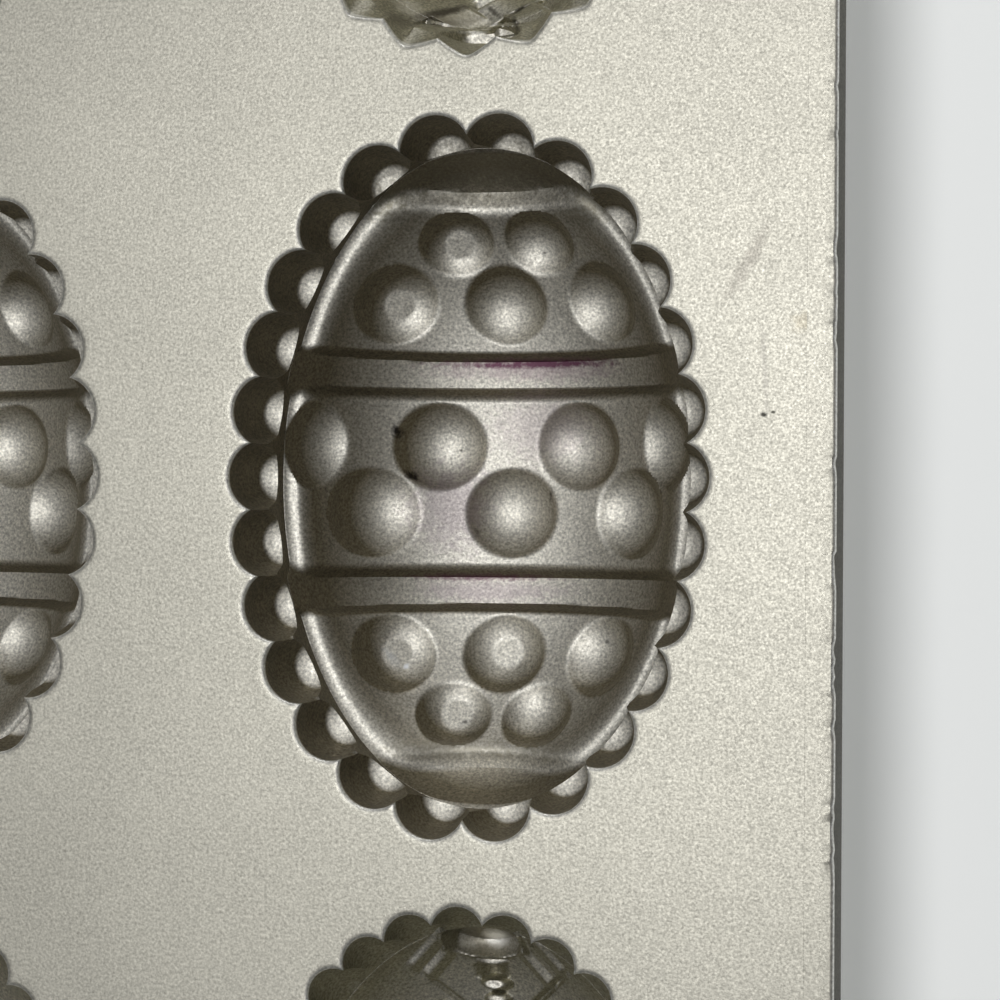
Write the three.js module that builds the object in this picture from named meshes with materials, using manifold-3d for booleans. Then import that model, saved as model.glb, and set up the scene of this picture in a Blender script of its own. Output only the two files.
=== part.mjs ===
// A cast-aluminium baking pan with six egg-shaped wells: two columns of three patterns.
// Millimetres. X runs across the pan, Y along it and Z up, and the wells rest on Z = 0.
// The casting is divided at its natural lines: deck, turned-down rim, end grips, and for each
// well the collar of lobes round its mouth and the egg cup that hangs below the collar.
import * as THREE from 'three';
import { mergeVertices } from 'three/addons/utils/BufferGeometryUtils.js';
import Module from 'manifold-3d';

const wasm = await Module();
wasm.setup();

// Driving dimensions: the pan as a whole
const COLUMN_GAP = 15.7;
const ROW_GAP = 4.1;
const SIDE_MARGIN = 15.55;
const END_MARGIN = 10.85;
const CORNER_RADIUS = 14;
const DECK_THICKNESS = 3.2;
const RIM_WIDTH = 4.2;
const RIM_DEPTH = 8;
const CLEARANCE = 0.3;
const OVERRUN = 2;

// Driving dimensions: the egg cup, measured from the top of the deck
const EGG_HALF_WIDTH = 32.6;
const EGG_HALF_LENGTH = 50.4;
const EGG_DEPTH = 32;
const CUP_WALL = 3.2;
const FOOT_CUT = 0.5;
const PANEL_INSET = 2;
const STEP_DRAFT = 0.5;

// Driving dimensions: the collar of lobes, set out from the egg
const COLLAR_DEPTH = 12.7;
const COLLAR_WALL = 2.4;
const BORE_SIDE_INSET = 1.3;
const BORE_END_INSET = 2;
const LOBE_FLOOR_DEPTH = 9.9;
const LOBE_SIDE_REACH = 3.15;
const LOBE_END_REACH = 2.35;

// Driving dimensions: the three patterns
const BEAD_COUNT = 26;
const BEAD_RADIUS = 5.3;
const BEAD_DRAFT = 0.3;
const BEAD_FLAT_ANGLE = 30 * Math.PI / 180;
const SCALLOP_FLAT_ANGLE = 90 * Math.PI / 180;
const SCALLOP_COUNT = 36;
const SCALLOP_RADIUS = 4;
const TOOTH_COUNT = 30;
const TOOTH_HEIGHT = 2.4;
const BAND_INNER = 13.6;
const BAND_OUTER = 19.8;
const CAP_LENGTH = 6.4;
const DOT_RADIUS = 6.5;
const DOT_DEPTH = 3;
const SMALL_DOT_RADIUS = 5.6;
const SMALL_DOT_DEPTH = 2.4;
const DOT_MARGIN = 0.95;
const STRAND_WIDTH = 6.4;
const STRAND_PITCH = 14.4;
const STRAND_ANGLE = 52 * Math.PI / 180;
const RIBBON_WIDTH = 7;
const RIBBON_ANGLE = 38 * Math.PI / 180;
const KNOT_INSET = 7.9;
const KNOT_HALF_WIDTH = 6;
const KNOT_HALF_LENGTH = 4.6;
const KNOT_DEPTH = 7;
const BOW_HALF_WIDTH = 9.5;
const BOW_HALF_LENGTH = 5.2;
const BOW_DEPTH = 6;
const BOW_RELIEF = 0.9;

// Driving dimensions: the end grips
const GRIP_LENGTH = 112;
const GRIP_REACH = 24;
const GRIP_BAR = 9.5;
const GRIP_THICKNESS = 6.8;
const GRIP_BEVEL = 1.6;

// Segment counts
const ELLIPSE_STEPS = 40;
const CORNER_STEPS = 5;
const EGG_ROUND_STEPS = 20;
const EGG_SIDE_STEPS = 10;
const BEAD_ROUND_STEPS = 8;
const BEAD_ARC_STEPS = 2;
const SCALLOP_ROUND_STEPS = 8;
const SCALLOP_ARC_STEPS = 0;
const DOT_ROUND_STEPS = 10;
const DOT_ARC_STEPS = 2;
const LUMP_ROUND_STEPS = 10;
const LUMP_RING_STEPS = 8;
const SMOOTHING = 0.1;

// Sizes that follow
const DECK_TOP = EGG_DEPTH + CUP_WALL;
const BORE_HALF_WIDTH = EGG_HALF_WIDTH - BORE_SIDE_INSET;
const BORE_HALF_LENGTH = EGG_HALF_LENGTH - BORE_END_INSET;
const LOBE_HALF_WIDTH = EGG_HALF_WIDTH + LOBE_SIDE_REACH;
const LOBE_HALF_LENGTH = EGG_HALF_LENGTH + LOBE_END_REACH;
const COLLAR_HALF_WIDTH = LOBE_HALF_WIDTH + COLLAR_WALL;
const COLLAR_HALF_LENGTH = LOBE_HALF_LENGTH + COLLAR_WALL;
const COLLAR_FOOT = DECK_TOP - COLLAR_DEPTH;
const CAP_START = BORE_HALF_LENGTH - CAP_LENGTH;
const KNOT_PLACE = EGG_HALF_LENGTH - KNOT_INSET;
const COLUMN_PITCH = 2 * COLLAR_HALF_WIDTH + COLUMN_GAP;
const ROW_PITCH = 2 * COLLAR_HALF_LENGTH + ROW_GAP;
const PAN_HALF_WIDTH = COLUMN_PITCH / 2 + COLLAR_HALF_WIDTH + SIDE_MARGIN;
const PAN_HALF_LENGTH = ROW_PITCH + COLLAR_HALF_LENGTH + END_MARGIN;

// Row and column of each well; the middle row carries the dotted eggs
const COLUMNS = [['left', -COLUMN_PITCH / 2], ['right', COLUMN_PITCH / 2]];

// A champagne-silver non-stick coating over the whole casting
const coating = new THREE.MeshStandardMaterial({ color: 0xaea99c, roughness: 0.46, metalness: 0.75 });

// Boolean helpers: a closed geometry becomes a solid, and a solid a geometry again.
function toSolid(geometry) {
  const bare = geometry.clone();
  bare.deleteAttribute('normal');
  bare.deleteAttribute('uv');
  const merged = mergeVertices(bare);
  const index = merged.index.array;
  const kept = [];
  for (let i = 0; i < index.length; i += 3) {
    const [a, b, c] = [index[i], index[i + 1], index[i + 2]];
    if (a !== b && b !== c && c !== a) kept.push(a, b, c);
  }
  return new wasm.Manifold(new wasm.Mesh({
    numProp: 3,
    vertProperties: new Float32Array(merged.attributes.position.array),
    triVerts: new Uint32Array(kept),
  }));
}

function toGeometry(solid) {
  const mesh = solid.simplify(SMOOTHING).getMesh();
  const geometry = new THREE.BufferGeometry();
  geometry.setAttribute('position', new THREE.BufferAttribute(Float32Array.from(mesh.vertProperties), 3));
  geometry.setIndex(new THREE.BufferAttribute(Uint32Array.from(mesh.triVerts), 1));
  geometry.computeVertexNormals();
  return geometry;
}

const joined = (solids) => solids.reduce((sum, next) => sum.add(next));

// Outlines in the XY plane
function ellipsePoints(halfWidth, halfLength, steps = ELLIPSE_STEPS) {
  return Array.from({ length: steps }, (_, i) => {
    const turn = (2 * Math.PI * i) / steps;
    return new THREE.Vector2(halfWidth * Math.cos(turn), halfLength * Math.sin(turn));
  });
}

function roundedRectanglePoints(halfWidth, halfLength, radius) {
  const points = [];
  for (let corner = 0; corner < 4; corner += 1) {
    const signX = corner === 0 || corner === 3 ? 1 : -1;
    const signY = corner < 2 ? 1 : -1;
    for (let i = 0; i <= CORNER_STEPS; i += 1) {
      const turn = (Math.PI / 2) * (corner + i / CORNER_STEPS);
      points.push(new THREE.Vector2(
        signX * (halfWidth - radius) + radius * Math.cos(turn),
        signY * (halfLength - radius) + radius * Math.sin(turn),
      ));
    }
  }
  return points;
}

// Places evenly spaced by arc length round an ellipse, from +X, with the outward direction at each.
function evenPlaces(halfWidth, halfLength, count, startShare = 0) {
  const samples = 40 * count;
  const lengths = [0];
  const at = (turn) => [halfWidth * Math.cos(turn), halfLength * Math.sin(turn)];
  for (let i = 1; i <= samples; i += 1) {
    const [x0, y0] = at((2 * Math.PI * (i - 1)) / samples);
    const [x1, y1] = at((2 * Math.PI * i) / samples);
    lengths.push(lengths[i - 1] + Math.hypot(x1 - x0, y1 - y0));
  }
  return Array.from({ length: count }, (_, k) => {
    const target = ((k + startShare) / count) * lengths[samples];
    const i = lengths.findIndex((length) => length > target);
    const share = (target - lengths[i - 1]) / (lengths[i] - lengths[i - 1]);
    const turn = (2 * Math.PI * (i - 1 + share)) / samples;
    const [x, y] = at(turn);
    const outward = Math.atan2(y / halfLength ** 2, x / halfWidth ** 2);
    return { x, y, outward };
  });
}

// An upright prism on an outline, between two heights
function prism(points, bottom, top, holes = []) {
  const shape = new THREE.Shape(points);
  shape.holes = holes.map((hole) => new THREE.Path(hole));
  const geometry = new THREE.ExtrudeGeometry(shape, { depth: top - bottom, bevelEnabled: false });
  return geometry.translate(0, 0, bottom);
}

// Depth below the deck of an egg shrunk all round by an inset, as a radius about the Y axis
function eggRadius(y, inset) {
  const share = y / (EGG_HALF_LENGTH - inset);
  return (EGG_DEPTH - inset) * Math.sqrt(Math.max(0, 1 - share * share));
}

// A stretch of the egg's side profile from one place to another, at one inset
function eggStretch(from, to, inset, steps) {
  return Array.from({ length: steps + 1 }, (_, i) => {
    const y = from + ((to - from) * i) / steps;
    return new THREE.Vector2(eggRadius(y, inset), y);
  });
}

// A whole egg at one inset, its rings closer together towards the ends
function plainEggProfile(inset) {
  const halfLength = EGG_HALF_LENGTH - inset;
  return Array.from({ length: EGG_SIDE_STEPS + 1 }, (_, i) => {
    const y = -halfLength * Math.cos((Math.PI * i) / EGG_SIDE_STEPS);
    const tip = i === 0 || i === EGG_SIDE_STEPS;
    return new THREE.Vector2(tip ? 0 : eggRadius(y, inset), y);
  });
}

// The egg whose bands and end caps lie deeper than its panels
function bandedEggProfile() {
  const tip = EGG_HALF_LENGTH * Math.cos(Math.PI / EGG_SIDE_STEPS);
  const upper = [
    ...eggStretch(0, BAND_INNER, PANEL_INSET, 2),
    ...eggStretch(BAND_INNER + STEP_DRAFT, BAND_OUTER - STEP_DRAFT, 0, 1),
    ...eggStretch(BAND_OUTER, CAP_START, PANEL_INSET, 5),
    ...eggStretch(CAP_START + STEP_DRAFT, tip, 0, 2),
    new THREE.Vector2(0, EGG_HALF_LENGTH),
  ];
  const lower = upper.slice(1).map((point) => new THREE.Vector2(point.x, -point.y)).reverse();
  return [...lower, ...upper];
}

// A profile about the Y axis turned into an egg hung from the deck's top plane
function egg(profile) {
  const geometry = new THREE.LatheGeometry(profile, EGG_ROUND_STEPS);
  geometry.scale(EGG_HALF_WIDTH / EGG_DEPTH, 1, 1);
  return toSolid(geometry.translate(0, 0, DECK_TOP));
}

// The space between two heights, wider than any well
function slab(bottom, top) {
  const reach = COLLAR_HALF_LENGTH + OVERRUN;
  const geometry = new THREE.BoxGeometry(2 * reach, 2 * reach, top - bottom);
  return toSolid(geometry.translate(0, 0, (bottom + top) / 2));
}

// The outside of a cup, flat where it meets the collar and where it rests
function cupBlank() {
  return egg(plainEggProfile(-CUP_WALL - FOOT_CUT)).intersect(slab(0, COLLAR_FOOT - CLEARANCE));
}

// A ball-ended cutter, flat up to an angle from its tip, that hangs down to the lobes' floor
function beadCutter(radius, flatAngle, roundSteps, arcSteps) {
  const ball = radius - BEAD_DRAFT;
  const centre = LOBE_FLOOR_DEPTH - ball;
  const profile = [
    new THREE.Vector2(0, -LOBE_FLOOR_DEPTH),
    new THREE.Vector2(ball * Math.sin(flatAngle), -LOBE_FLOOR_DEPTH),
  ];
  for (let i = 1; i <= arcSteps; i += 1) {
    const turn = flatAngle + (Math.PI / 2 - flatAngle) * (i / arcSteps);
    profile.push(new THREE.Vector2(ball * Math.sin(turn), -centre - ball * Math.cos(turn)));
  }
  profile.push(new THREE.Vector2(radius, 0));
  profile.push(new THREE.Vector2(radius, OVERRUN));
  profile.push(new THREE.Vector2(0, OVERRUN));
  const geometry = new THREE.LatheGeometry(profile, roundSteps);
  return geometry.rotateX(Math.PI / 2);
}

function beadCutters(count, radius, flatAngle, roundSteps, arcSteps) {
  const halfWidth = LOBE_HALF_WIDTH - radius;
  const halfLength = LOBE_HALF_LENGTH - radius;
  const cutter = beadCutter(radius, flatAngle, roundSteps, arcSteps);
  return evenPlaces(halfWidth, halfLength, count).map(({ x, y, outward }) => {
    return toSolid(cutter.clone().rotateZ(outward).translate(x, y, DECK_TOP));
  });
}

// The pointed mouth of the lattice well: a zigzag that follows an ellipse
function toothCutter() {
  const tips = evenPlaces(LOBE_HALF_WIDTH, LOBE_HALF_LENGTH, TOOTH_COUNT, 1 / 2);
  const rootHalfWidth = LOBE_HALF_WIDTH - TOOTH_HEIGHT;
  const rootHalfLength = LOBE_HALF_LENGTH - TOOTH_HEIGHT;
  const roots = evenPlaces(rootHalfWidth, rootHalfLength, TOOTH_COUNT, 0);
  const points = roots.flatMap((root, i) => [root, tips[i]]).map(({ x, y }) => new THREE.Vector2(x, y));
  return [toSolid(prism(points, DECK_TOP - LOBE_FLOOR_DEPTH, DECK_TOP + OVERRUN))];
}

// A ring from the deck's top to the ledge, with a bore and pockets round it
function collar(pockets) {
  const outline = ellipsePoints(COLLAR_HALF_WIDTH, COLLAR_HALF_LENGTH);
  const bore = ellipsePoints(BORE_HALF_WIDTH, BORE_HALF_LENGTH);
  const ring = toSolid(prism(outline, COLLAR_FOOT, DECK_TOP, [bore]));
  return ring.subtract(joined(pockets));
}

// Dots on the panels: place along the egg, angle round it, radius and depth
function dotTable() {
  const middle = BAND_INNER - DOT_RADIUS - 2 * DOT_MARGIN;
  const near = BAND_OUTER + SMALL_DOT_RADIUS + DOT_MARGIN;
  const far = CAP_START - SMALL_DOT_RADIUS - DOT_MARGIN;
  const large = [DOT_RADIUS, DOT_DEPTH];
  const small = [SMALL_DOT_RADIUS, SMALL_DOT_DEPTH];
  return [
    ...[-63, -21, 21, 63].map((degrees) => [middle, degrees, ...large]),
    ...[-42, 0, 42].map((degrees) => [-middle, degrees, ...large]),
    ...[-1, 1].flatMap((side) => [-40, 0, 40].map((degrees) => [side * near, degrees, ...small])),
    ...[-1, 1].flatMap((side) => [-19, 19].map((degrees) => [side * far, degrees, ...small])),
  ];
}

// A bowl-shaped cutter that sinks a round dimple of a given radius and depth into the panels
function dotCutter([y, degrees, radius, depth]) {
  const ball = (radius * radius + depth * depth) / (2 * depth);
  const arc = Math.asin(radius / ball);
  const profile = Array.from({ length: DOT_ARC_STEPS + 1 }, (_, i) => {
    const turn = (arc * i) / DOT_ARC_STEPS;
    return new THREE.Vector2(ball * Math.sin(turn), ball * (1 - Math.cos(turn)) - depth);
  });
  profile.push(new THREE.Vector2(radius + OVERRUN, OVERRUN), new THREE.Vector2(0, OVERRUN));
  const geometry = new THREE.LatheGeometry(profile, DOT_ROUND_STEPS);
  const turn = degrees * Math.PI / 180;
  const tilt = Math.atan2(y * (EGG_DEPTH / EGG_HALF_LENGTH) ** 2, eggRadius(y, 0));
  const across = eggRadius(y, PANEL_INSET);
  geometry.rotateX(Math.PI / 2).rotateX(tilt).translate(0, y, -across).rotateY(-turn);
  return toSolid(geometry.scale(EGG_HALF_WIDTH / EGG_DEPTH, 1, 1).translate(0, 0, DECK_TOP));
}

function dottedCup() {
  const dots = dotTable().map(dotCutter);
  return cupBlank().subtract(egg(bandedEggProfile())).subtract(joined(dots));
}

// An upright strip across the well, turned about Z and shifted square to its length
function strip(width, angle, shift) {
  const length = 3 * EGG_HALF_LENGTH;
  const geometry = new THREE.BoxGeometry(width, length, 2 * EGG_DEPTH);
  return toSolid(geometry.translate(shift, 0, DECK_TOP).rotateZ(angle));
}

// The lattice well: strands in two directions lie deeper than the diamonds between them
function latticeCup() {
  const reach = Math.ceil(EGG_HALF_LENGTH / STRAND_PITCH) - 1;
  const strips = [];
  for (let i = -reach; i <= reach; i += 1) {
    strips.push(strip(STRAND_WIDTH, STRAND_ANGLE, i * STRAND_PITCH));
    strips.push(strip(STRAND_WIDTH, -STRAND_ANGLE, i * STRAND_PITCH));
  }
  const strands = egg(plainEggProfile(0)).intersect(joined(strips));
  return cupBlank().subtract(egg(plainEggProfile(PANEL_INSET)).add(strands));
}

// A flattened ball on the panels' surface, from which the bow is made up
function lump(x, y, halfWidth, halfLength, depth, angle) {
  const surface = DECK_TOP - eggRadius(y, PANEL_INSET);
  const geometry = new THREE.SphereGeometry(1, LUMP_ROUND_STEPS, LUMP_RING_STEPS);
  geometry.scale(halfWidth, halfLength, depth).rotateZ(angle);
  return toSolid(geometry.translate(x, y, surface));
}

// The bow goes a little deeper than the ribbon and leaves the rest of the cup's wall
function bowCutter() {
  const loopShift = KNOT_HALF_WIDTH / 2 + BOW_HALF_WIDTH;
  const loopPlace = KNOT_PLACE - BOW_HALF_LENGTH;
  const lumps = [
    lump(0, KNOT_PLACE, KNOT_HALF_WIDTH, KNOT_HALF_LENGTH, KNOT_DEPTH, 0),
    lump(-loopShift, loopPlace, BOW_HALF_WIDTH, BOW_HALF_LENGTH, BOW_DEPTH, RIBBON_ANGLE),
    lump(loopShift, loopPlace, BOW_HALF_WIDTH, BOW_HALF_LENGTH, BOW_DEPTH, -RIBBON_ANGLE),
  ];
  return joined(lumps).intersect(egg(plainEggProfile(-BOW_RELIEF)));
}

// The ribbon well: a ribbon runs down the middle and off both sides from a bow
function ribbonCup() {
  const shift = KNOT_PLACE * Math.sin(RIBBON_ANGLE);
  const strips = joined([
    strip(RIBBON_WIDTH, 0, 0),
    strip(RIBBON_WIDTH, RIBBON_ANGLE, shift),
    strip(RIBBON_WIDTH, -RIBBON_ANGLE, -shift),
    strip(RIBBON_WIDTH, RIBBON_ANGLE, -shift),
    strip(RIBBON_WIDTH, -RIBBON_ANGLE, shift),
  ]);
  const ribbons = egg(plainEggProfile(0)).intersect(strips);
  const hollow = egg(plainEggProfile(PANEL_INSET)).add(ribbons);
  return cupBlank().subtract(hollow).subtract(bowCutter());
}

const PATTERNS = [
  {
    name: 'lattice',
    y: ROW_PITCH,
    collar: () => collar(toothCutter()),
    cup: latticeCup,
  },
  {
    name: 'dots',
    y: 0,
    collar: () => collar(
      beadCutters(BEAD_COUNT, BEAD_RADIUS, BEAD_FLAT_ANGLE, BEAD_ROUND_STEPS, BEAD_ARC_STEPS),
    ),
    cup: dottedCup,
  },
  {
    name: 'ribbon',
    y: -ROW_PITCH,
    collar: () => collar(
      beadCutters(SCALLOP_COUNT, SCALLOP_RADIUS, SCALLOP_FLAT_ANGLE, SCALLOP_ROUND_STEPS, SCALLOP_ARC_STEPS),
    ),
    cup: ribbonCup,
  },
];

// The flat deck, with an opening for each collar
function deckPlate() {
  const inset = RIM_WIDTH + CLEARANCE;
  const outline = roundedRectanglePoints(
    PAN_HALF_WIDTH - inset,
    PAN_HALF_LENGTH - inset,
    CORNER_RADIUS - inset,
  );
  const openings = COLUMNS.flatMap(([, x]) => PATTERNS.map(({ y }) => {
    const points = ellipsePoints(COLLAR_HALF_WIDTH + CLEARANCE, COLLAR_HALF_LENGTH + CLEARANCE);
    return points.map((point) => new THREE.Vector2(point.x + x, point.y + y));
  }));
  return prism(outline, DECK_TOP - DECK_THICKNESS, DECK_TOP, openings);
}

// The turned-down edge round the deck
function rimLip() {
  const outer = roundedRectanglePoints(PAN_HALF_WIDTH, PAN_HALF_LENGTH, CORNER_RADIUS);
  const inner = roundedRectanglePoints(
    PAN_HALF_WIDTH - RIM_WIDTH,
    PAN_HALF_LENGTH - RIM_WIDTH,
    CORNER_RADIUS - RIM_WIDTH,
  );
  return prism(outer, DECK_TOP - RIM_DEPTH, DECK_TOP, [inner]);
}

// A loop handle beyond the rim at the +Y end, its slot long enough for four fingers
function endGrip() {
  const radius = GRIP_REACH - GRIP_BEVEL;
  const outer = roundedRectanglePoints(GRIP_LENGTH / 2 - GRIP_BEVEL, radius, radius);
  const inner = roundedRectanglePoints(
    GRIP_LENGTH / 2 - GRIP_BAR + GRIP_BEVEL,
    radius - GRIP_BAR + 2 * GRIP_BEVEL,
    radius - GRIP_BAR + 2 * GRIP_BEVEL,
  );
  const shape = new THREE.Shape(outer);
  shape.holes = [new THREE.Path(inner)];
  const geometry = new THREE.ExtrudeGeometry(shape, {
    depth: GRIP_THICKNESS - 2 * GRIP_BEVEL,
    bevelThickness: GRIP_BEVEL,
    bevelSize: GRIP_BEVEL,
    bevelSegments: 1,
  });
  geometry.translate(0, 0, DECK_TOP - GRIP_THICKNESS + GRIP_BEVEL);
  const beyond = new THREE.BoxGeometry(2 * GRIP_LENGTH, GRIP_REACH + OVERRUN, 2 * DECK_TOP);
  beyond.translate(0, (GRIP_REACH + OVERRUN) / 2 + CLEARANCE, DECK_TOP);
  return toGeometry(toSolid(geometry).intersect(toSolid(beyond)));
}

// Assembly
const pan = new THREE.Group();

function addPiece(name, geometry, x = 0, y = 0, turn = 0) {
  const mesh = new THREE.Mesh(geometry, coating);
  mesh.name = name;
  mesh.position.set(x, y, 0);
  mesh.rotation.z = turn;
  pan.add(mesh);
}

addPiece('deck_plate', deckPlate());
addPiece('rim_lip', rimLip());
const grip = endGrip();
addPiece('end_grip_far', grip, 0, PAN_HALF_LENGTH);
addPiece('end_grip_near', grip, 0, -PAN_HALF_LENGTH, Math.PI);

for (const pattern of PATTERNS) {
  const collarGeometry = toGeometry(pattern.collar());
  const cupGeometry = toGeometry(pattern.cup());
  for (const [side, x] of COLUMNS) {
    addPiece(`${pattern.name}_collar_${side}`, collarGeometry, x, pattern.y);
    addPiece(`${pattern.name}_cup_${side}`, cupGeometry, x, pattern.y);
  }
}

export default pan;
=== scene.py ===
"""A cast baking pan with six egg-shaped wells, dressed for a close look into one dotted well.

The pan lies on a pale table. The camera stands over the middle well of the right-hand column, a
little to its right. Each class below is one sub-assembly of the casting: it holds its own sizes
in millimetres and builds its surfaces as whole arrays of points, which become metres in a mesh.
"""

import logging
import math
from abc import ABC, abstractmethod
from dataclasses import dataclass, field, replace
from enum import Enum
from functools import cached_property
from typing import ClassVar

import bpy
import numpy as np
from mathutils import Matrix, Vector


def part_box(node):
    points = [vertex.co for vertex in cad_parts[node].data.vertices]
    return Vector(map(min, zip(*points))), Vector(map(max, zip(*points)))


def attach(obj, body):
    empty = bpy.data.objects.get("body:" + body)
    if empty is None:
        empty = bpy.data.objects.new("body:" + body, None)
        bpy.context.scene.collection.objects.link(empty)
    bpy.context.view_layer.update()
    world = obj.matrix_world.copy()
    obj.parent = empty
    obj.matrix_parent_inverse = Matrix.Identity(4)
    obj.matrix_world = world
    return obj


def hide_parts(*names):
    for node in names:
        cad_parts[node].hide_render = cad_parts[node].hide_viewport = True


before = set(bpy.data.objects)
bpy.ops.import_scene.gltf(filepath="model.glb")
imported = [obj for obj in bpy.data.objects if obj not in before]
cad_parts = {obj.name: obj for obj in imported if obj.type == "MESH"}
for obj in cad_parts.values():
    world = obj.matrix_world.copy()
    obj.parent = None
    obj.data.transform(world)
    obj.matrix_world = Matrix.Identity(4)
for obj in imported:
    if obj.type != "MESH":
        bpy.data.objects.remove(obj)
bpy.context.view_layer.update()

LOG = logging.getLogger("egg_pan")
METRES = 0.001  # one millimetre
ARC_STEPS = 7200  # an ellipse's length is measured in so many steps
TINY = 1e-6  # keeps divisions off zero
MARK_CORE = 0.35  # the share of a colour mark's half size where it starts to fade
SHARP_DEGREES = 35.0  # an edge past this angle isn't smoothed over
BODY = "root"
Points = np.ndarray
Socket = bpy.types.NodeSocket
Materials = list[bpy.types.Material]
Pair = tuple[float, float]
Triple = tuple[float, float, float]
Rows = tuple[tuple[float, ...], tuple[float, ...]]


class Pattern(Enum):
    """The relief inside a well, named as the frame names its pieces."""

    LATTICE = "lattice"
    DOTS = "dots"
    RIBBON = "ribbon"


class Side(Enum):
    """The column that a well stands in."""

    LEFT = "left"
    RIGHT = "right"


def smooth_max(first: Points, second: Points, width: float) -> Points:
    """Take the larger of two values, rounded off where they come within a width of each other.

    It is the maximum plus (width - difference) squared over four widths, inside the width.

    Args:
        first: One set of values.
        second: The other set.
        width: How close the two are where the rounding starts.

    Returns:
        The rounded maximum.
    """
    overlap = np.maximum(width - np.abs(first - second), 0.0)
    return np.maximum(first, second) + overlap ** 2 / (4 * width)


def smooth_step(values: Points) -> Points:
    """Ease from 0 to 1 as 3 t squared minus 2 t cubed, flat outside that range."""
    share = np.clip(values, 0.0, 1.0)
    return share * share * (3 - 2 * share)


def rolled_ramp(values: Points, straight: float) -> Points:
    """Climb from 0 to 1: an even slope at first, then a parabola that levels off at 1.

    Args:
        values: How far along the ramp each point is, as a share.
        straight: The share of the run that has the even slope.

    Returns:
        The height at each point, as a share.
    """
    share = np.clip(values, 0.0, 1.0)
    slope = 2 / (1 + straight)
    rolled = 1 - slope * (1 - share) ** 2 / (2 * (1 - straight))
    return np.where(share < straight, slope * share, rolled)


def spaced(stops: list[float], steps: tuple[float, ...]) -> Points:
    """Run through a list of stops, each stretch cut evenly into steps of about a given length.

    Args:
        stops: Where the stretches start and end, rising.
        steps: The wanted step of each stretch.

    Returns:
        The positions, without repeats.
    """
    parts = [np.array(stops[:1])]
    for low, high, step in zip(stops[:-1], stops[1:], steps):
        count = max(1, round((high - low) / step))
        parts.append(np.linspace(low, high, count + 1)[1:])
    return np.concatenate(parts)


def between(first: Points, last: Points, shares: Points | Pair) -> list[Points]:
    """The sets of points at given shares of the straight way from a first set to a last one."""
    return [first + (last - first) * share for share in shares]


def at_height(plan: Points, height: Points | float) -> Points:
    """Points in plan, given a height each or one for all."""
    level = np.broadcast_to(height, plan.shape[:-1])
    return np.concatenate([plan, level[..., None]], axis=-1)


def circle(turns: Points) -> Points:
    """The cosine and sine of each turn, as a point of a unit circle."""
    return np.stack([np.cos(turns), np.sin(turns)], axis=-1)


@dataclass(frozen=True)
class Ellipse:
    """An ellipse about a well's centre, in plan."""

    half_width: float
    half_length: float

    @property
    def halves(self) -> Points:
        """The two half axes as an array."""
        return np.array([self.half_width, self.half_length])

    def points(self, turns: Points) -> Points:
        """The points at given turns: half width times cosine, half length times sine."""
        return circle(turns) * self.halves

    def outward(self, turns: Points) -> Points:
        """The unit normals at given turns, which point away from the centre."""
        normals = circle(turns) / self.halves
        return normals / np.linalg.norm(normals, axis=-1, keepdims=True)

    def even_turns(self, shares: Points) -> Points:
        """The turns that lie at given shares of the way round, measured along the curve.

        Args:
            shares: The shares of the way round from +X, anticlockwise.

        Returns:
            The turns, in radians.
        """
        turns = np.linspace(0.0, 2 * np.pi, ARC_STEPS + 1)
        steps = np.linalg.norm(np.diff(self.points(turns), axis=0), axis=1)
        lengths = np.concatenate([[0.0], np.cumsum(steps)]) / steps.sum()
        whole = np.floor(shares)
        return np.interp(shares - whole, lengths, turns) + 2 * np.pi * whole

    def grown(self, amount: float) -> "Ellipse":
        """The ellipse with both half axes longer by an amount."""
        return Ellipse(self.half_width + amount, self.half_length + amount)

    def scaled(self, share: float) -> "Ellipse":
        """The ellipse with both half axes times a share."""
        return Ellipse(self.half_width * share, self.half_length * share)

    def half_width_at(self, y: Points) -> Points:
        """Half the ellipse's width at each place along it."""
        return self.half_width * np.sqrt(np.maximum(1 - (y / self.half_length) ** 2, 0.0))

    def distance_in(self, x: Points, y: Points) -> Points:
        """How far inside the edge each point lies, near the edge: (1 - level) over its gradient.

        Args:
            x: Places across the well.
            y: Places along it.

        Returns:
            The distance, which grows past the true one towards the middle.
        """
        level = np.sqrt((x / self.half_width) ** 2 + (y / self.half_length) ** 2)
        level = np.maximum(level, TINY)
        gradient = np.hypot(x / self.half_width ** 2, y / self.half_length ** 2) / level
        return (1 - level) / np.maximum(gradient, 1 / self.half_length)


@dataclass(frozen=True)
class Bowl(Ellipse):
    """The lower half of an ellipsoid, or of a squarer form with a higher power, as depth."""

    depth: float
    power: float = 2.0

    def depths(self, x: Points, y: Points) -> Points:
        """Depth below the deck: depth times (1 - |x/a|^p - |y/b|^p) to the power 1/p.

        Args:
            x: Places across the well.
            y: Places along it.

        Returns:
            The depth, and zero outside the bowl.
        """
        across = np.abs(x / self.half_width) ** self.power
        along = np.abs(y / self.half_length) ** self.power
        return self.depth * np.maximum(1 - across - along, 0.0) ** (1 / self.power)


RIBBON_BOWL = Bowl(33.6, 52.0, 31.0)


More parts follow.
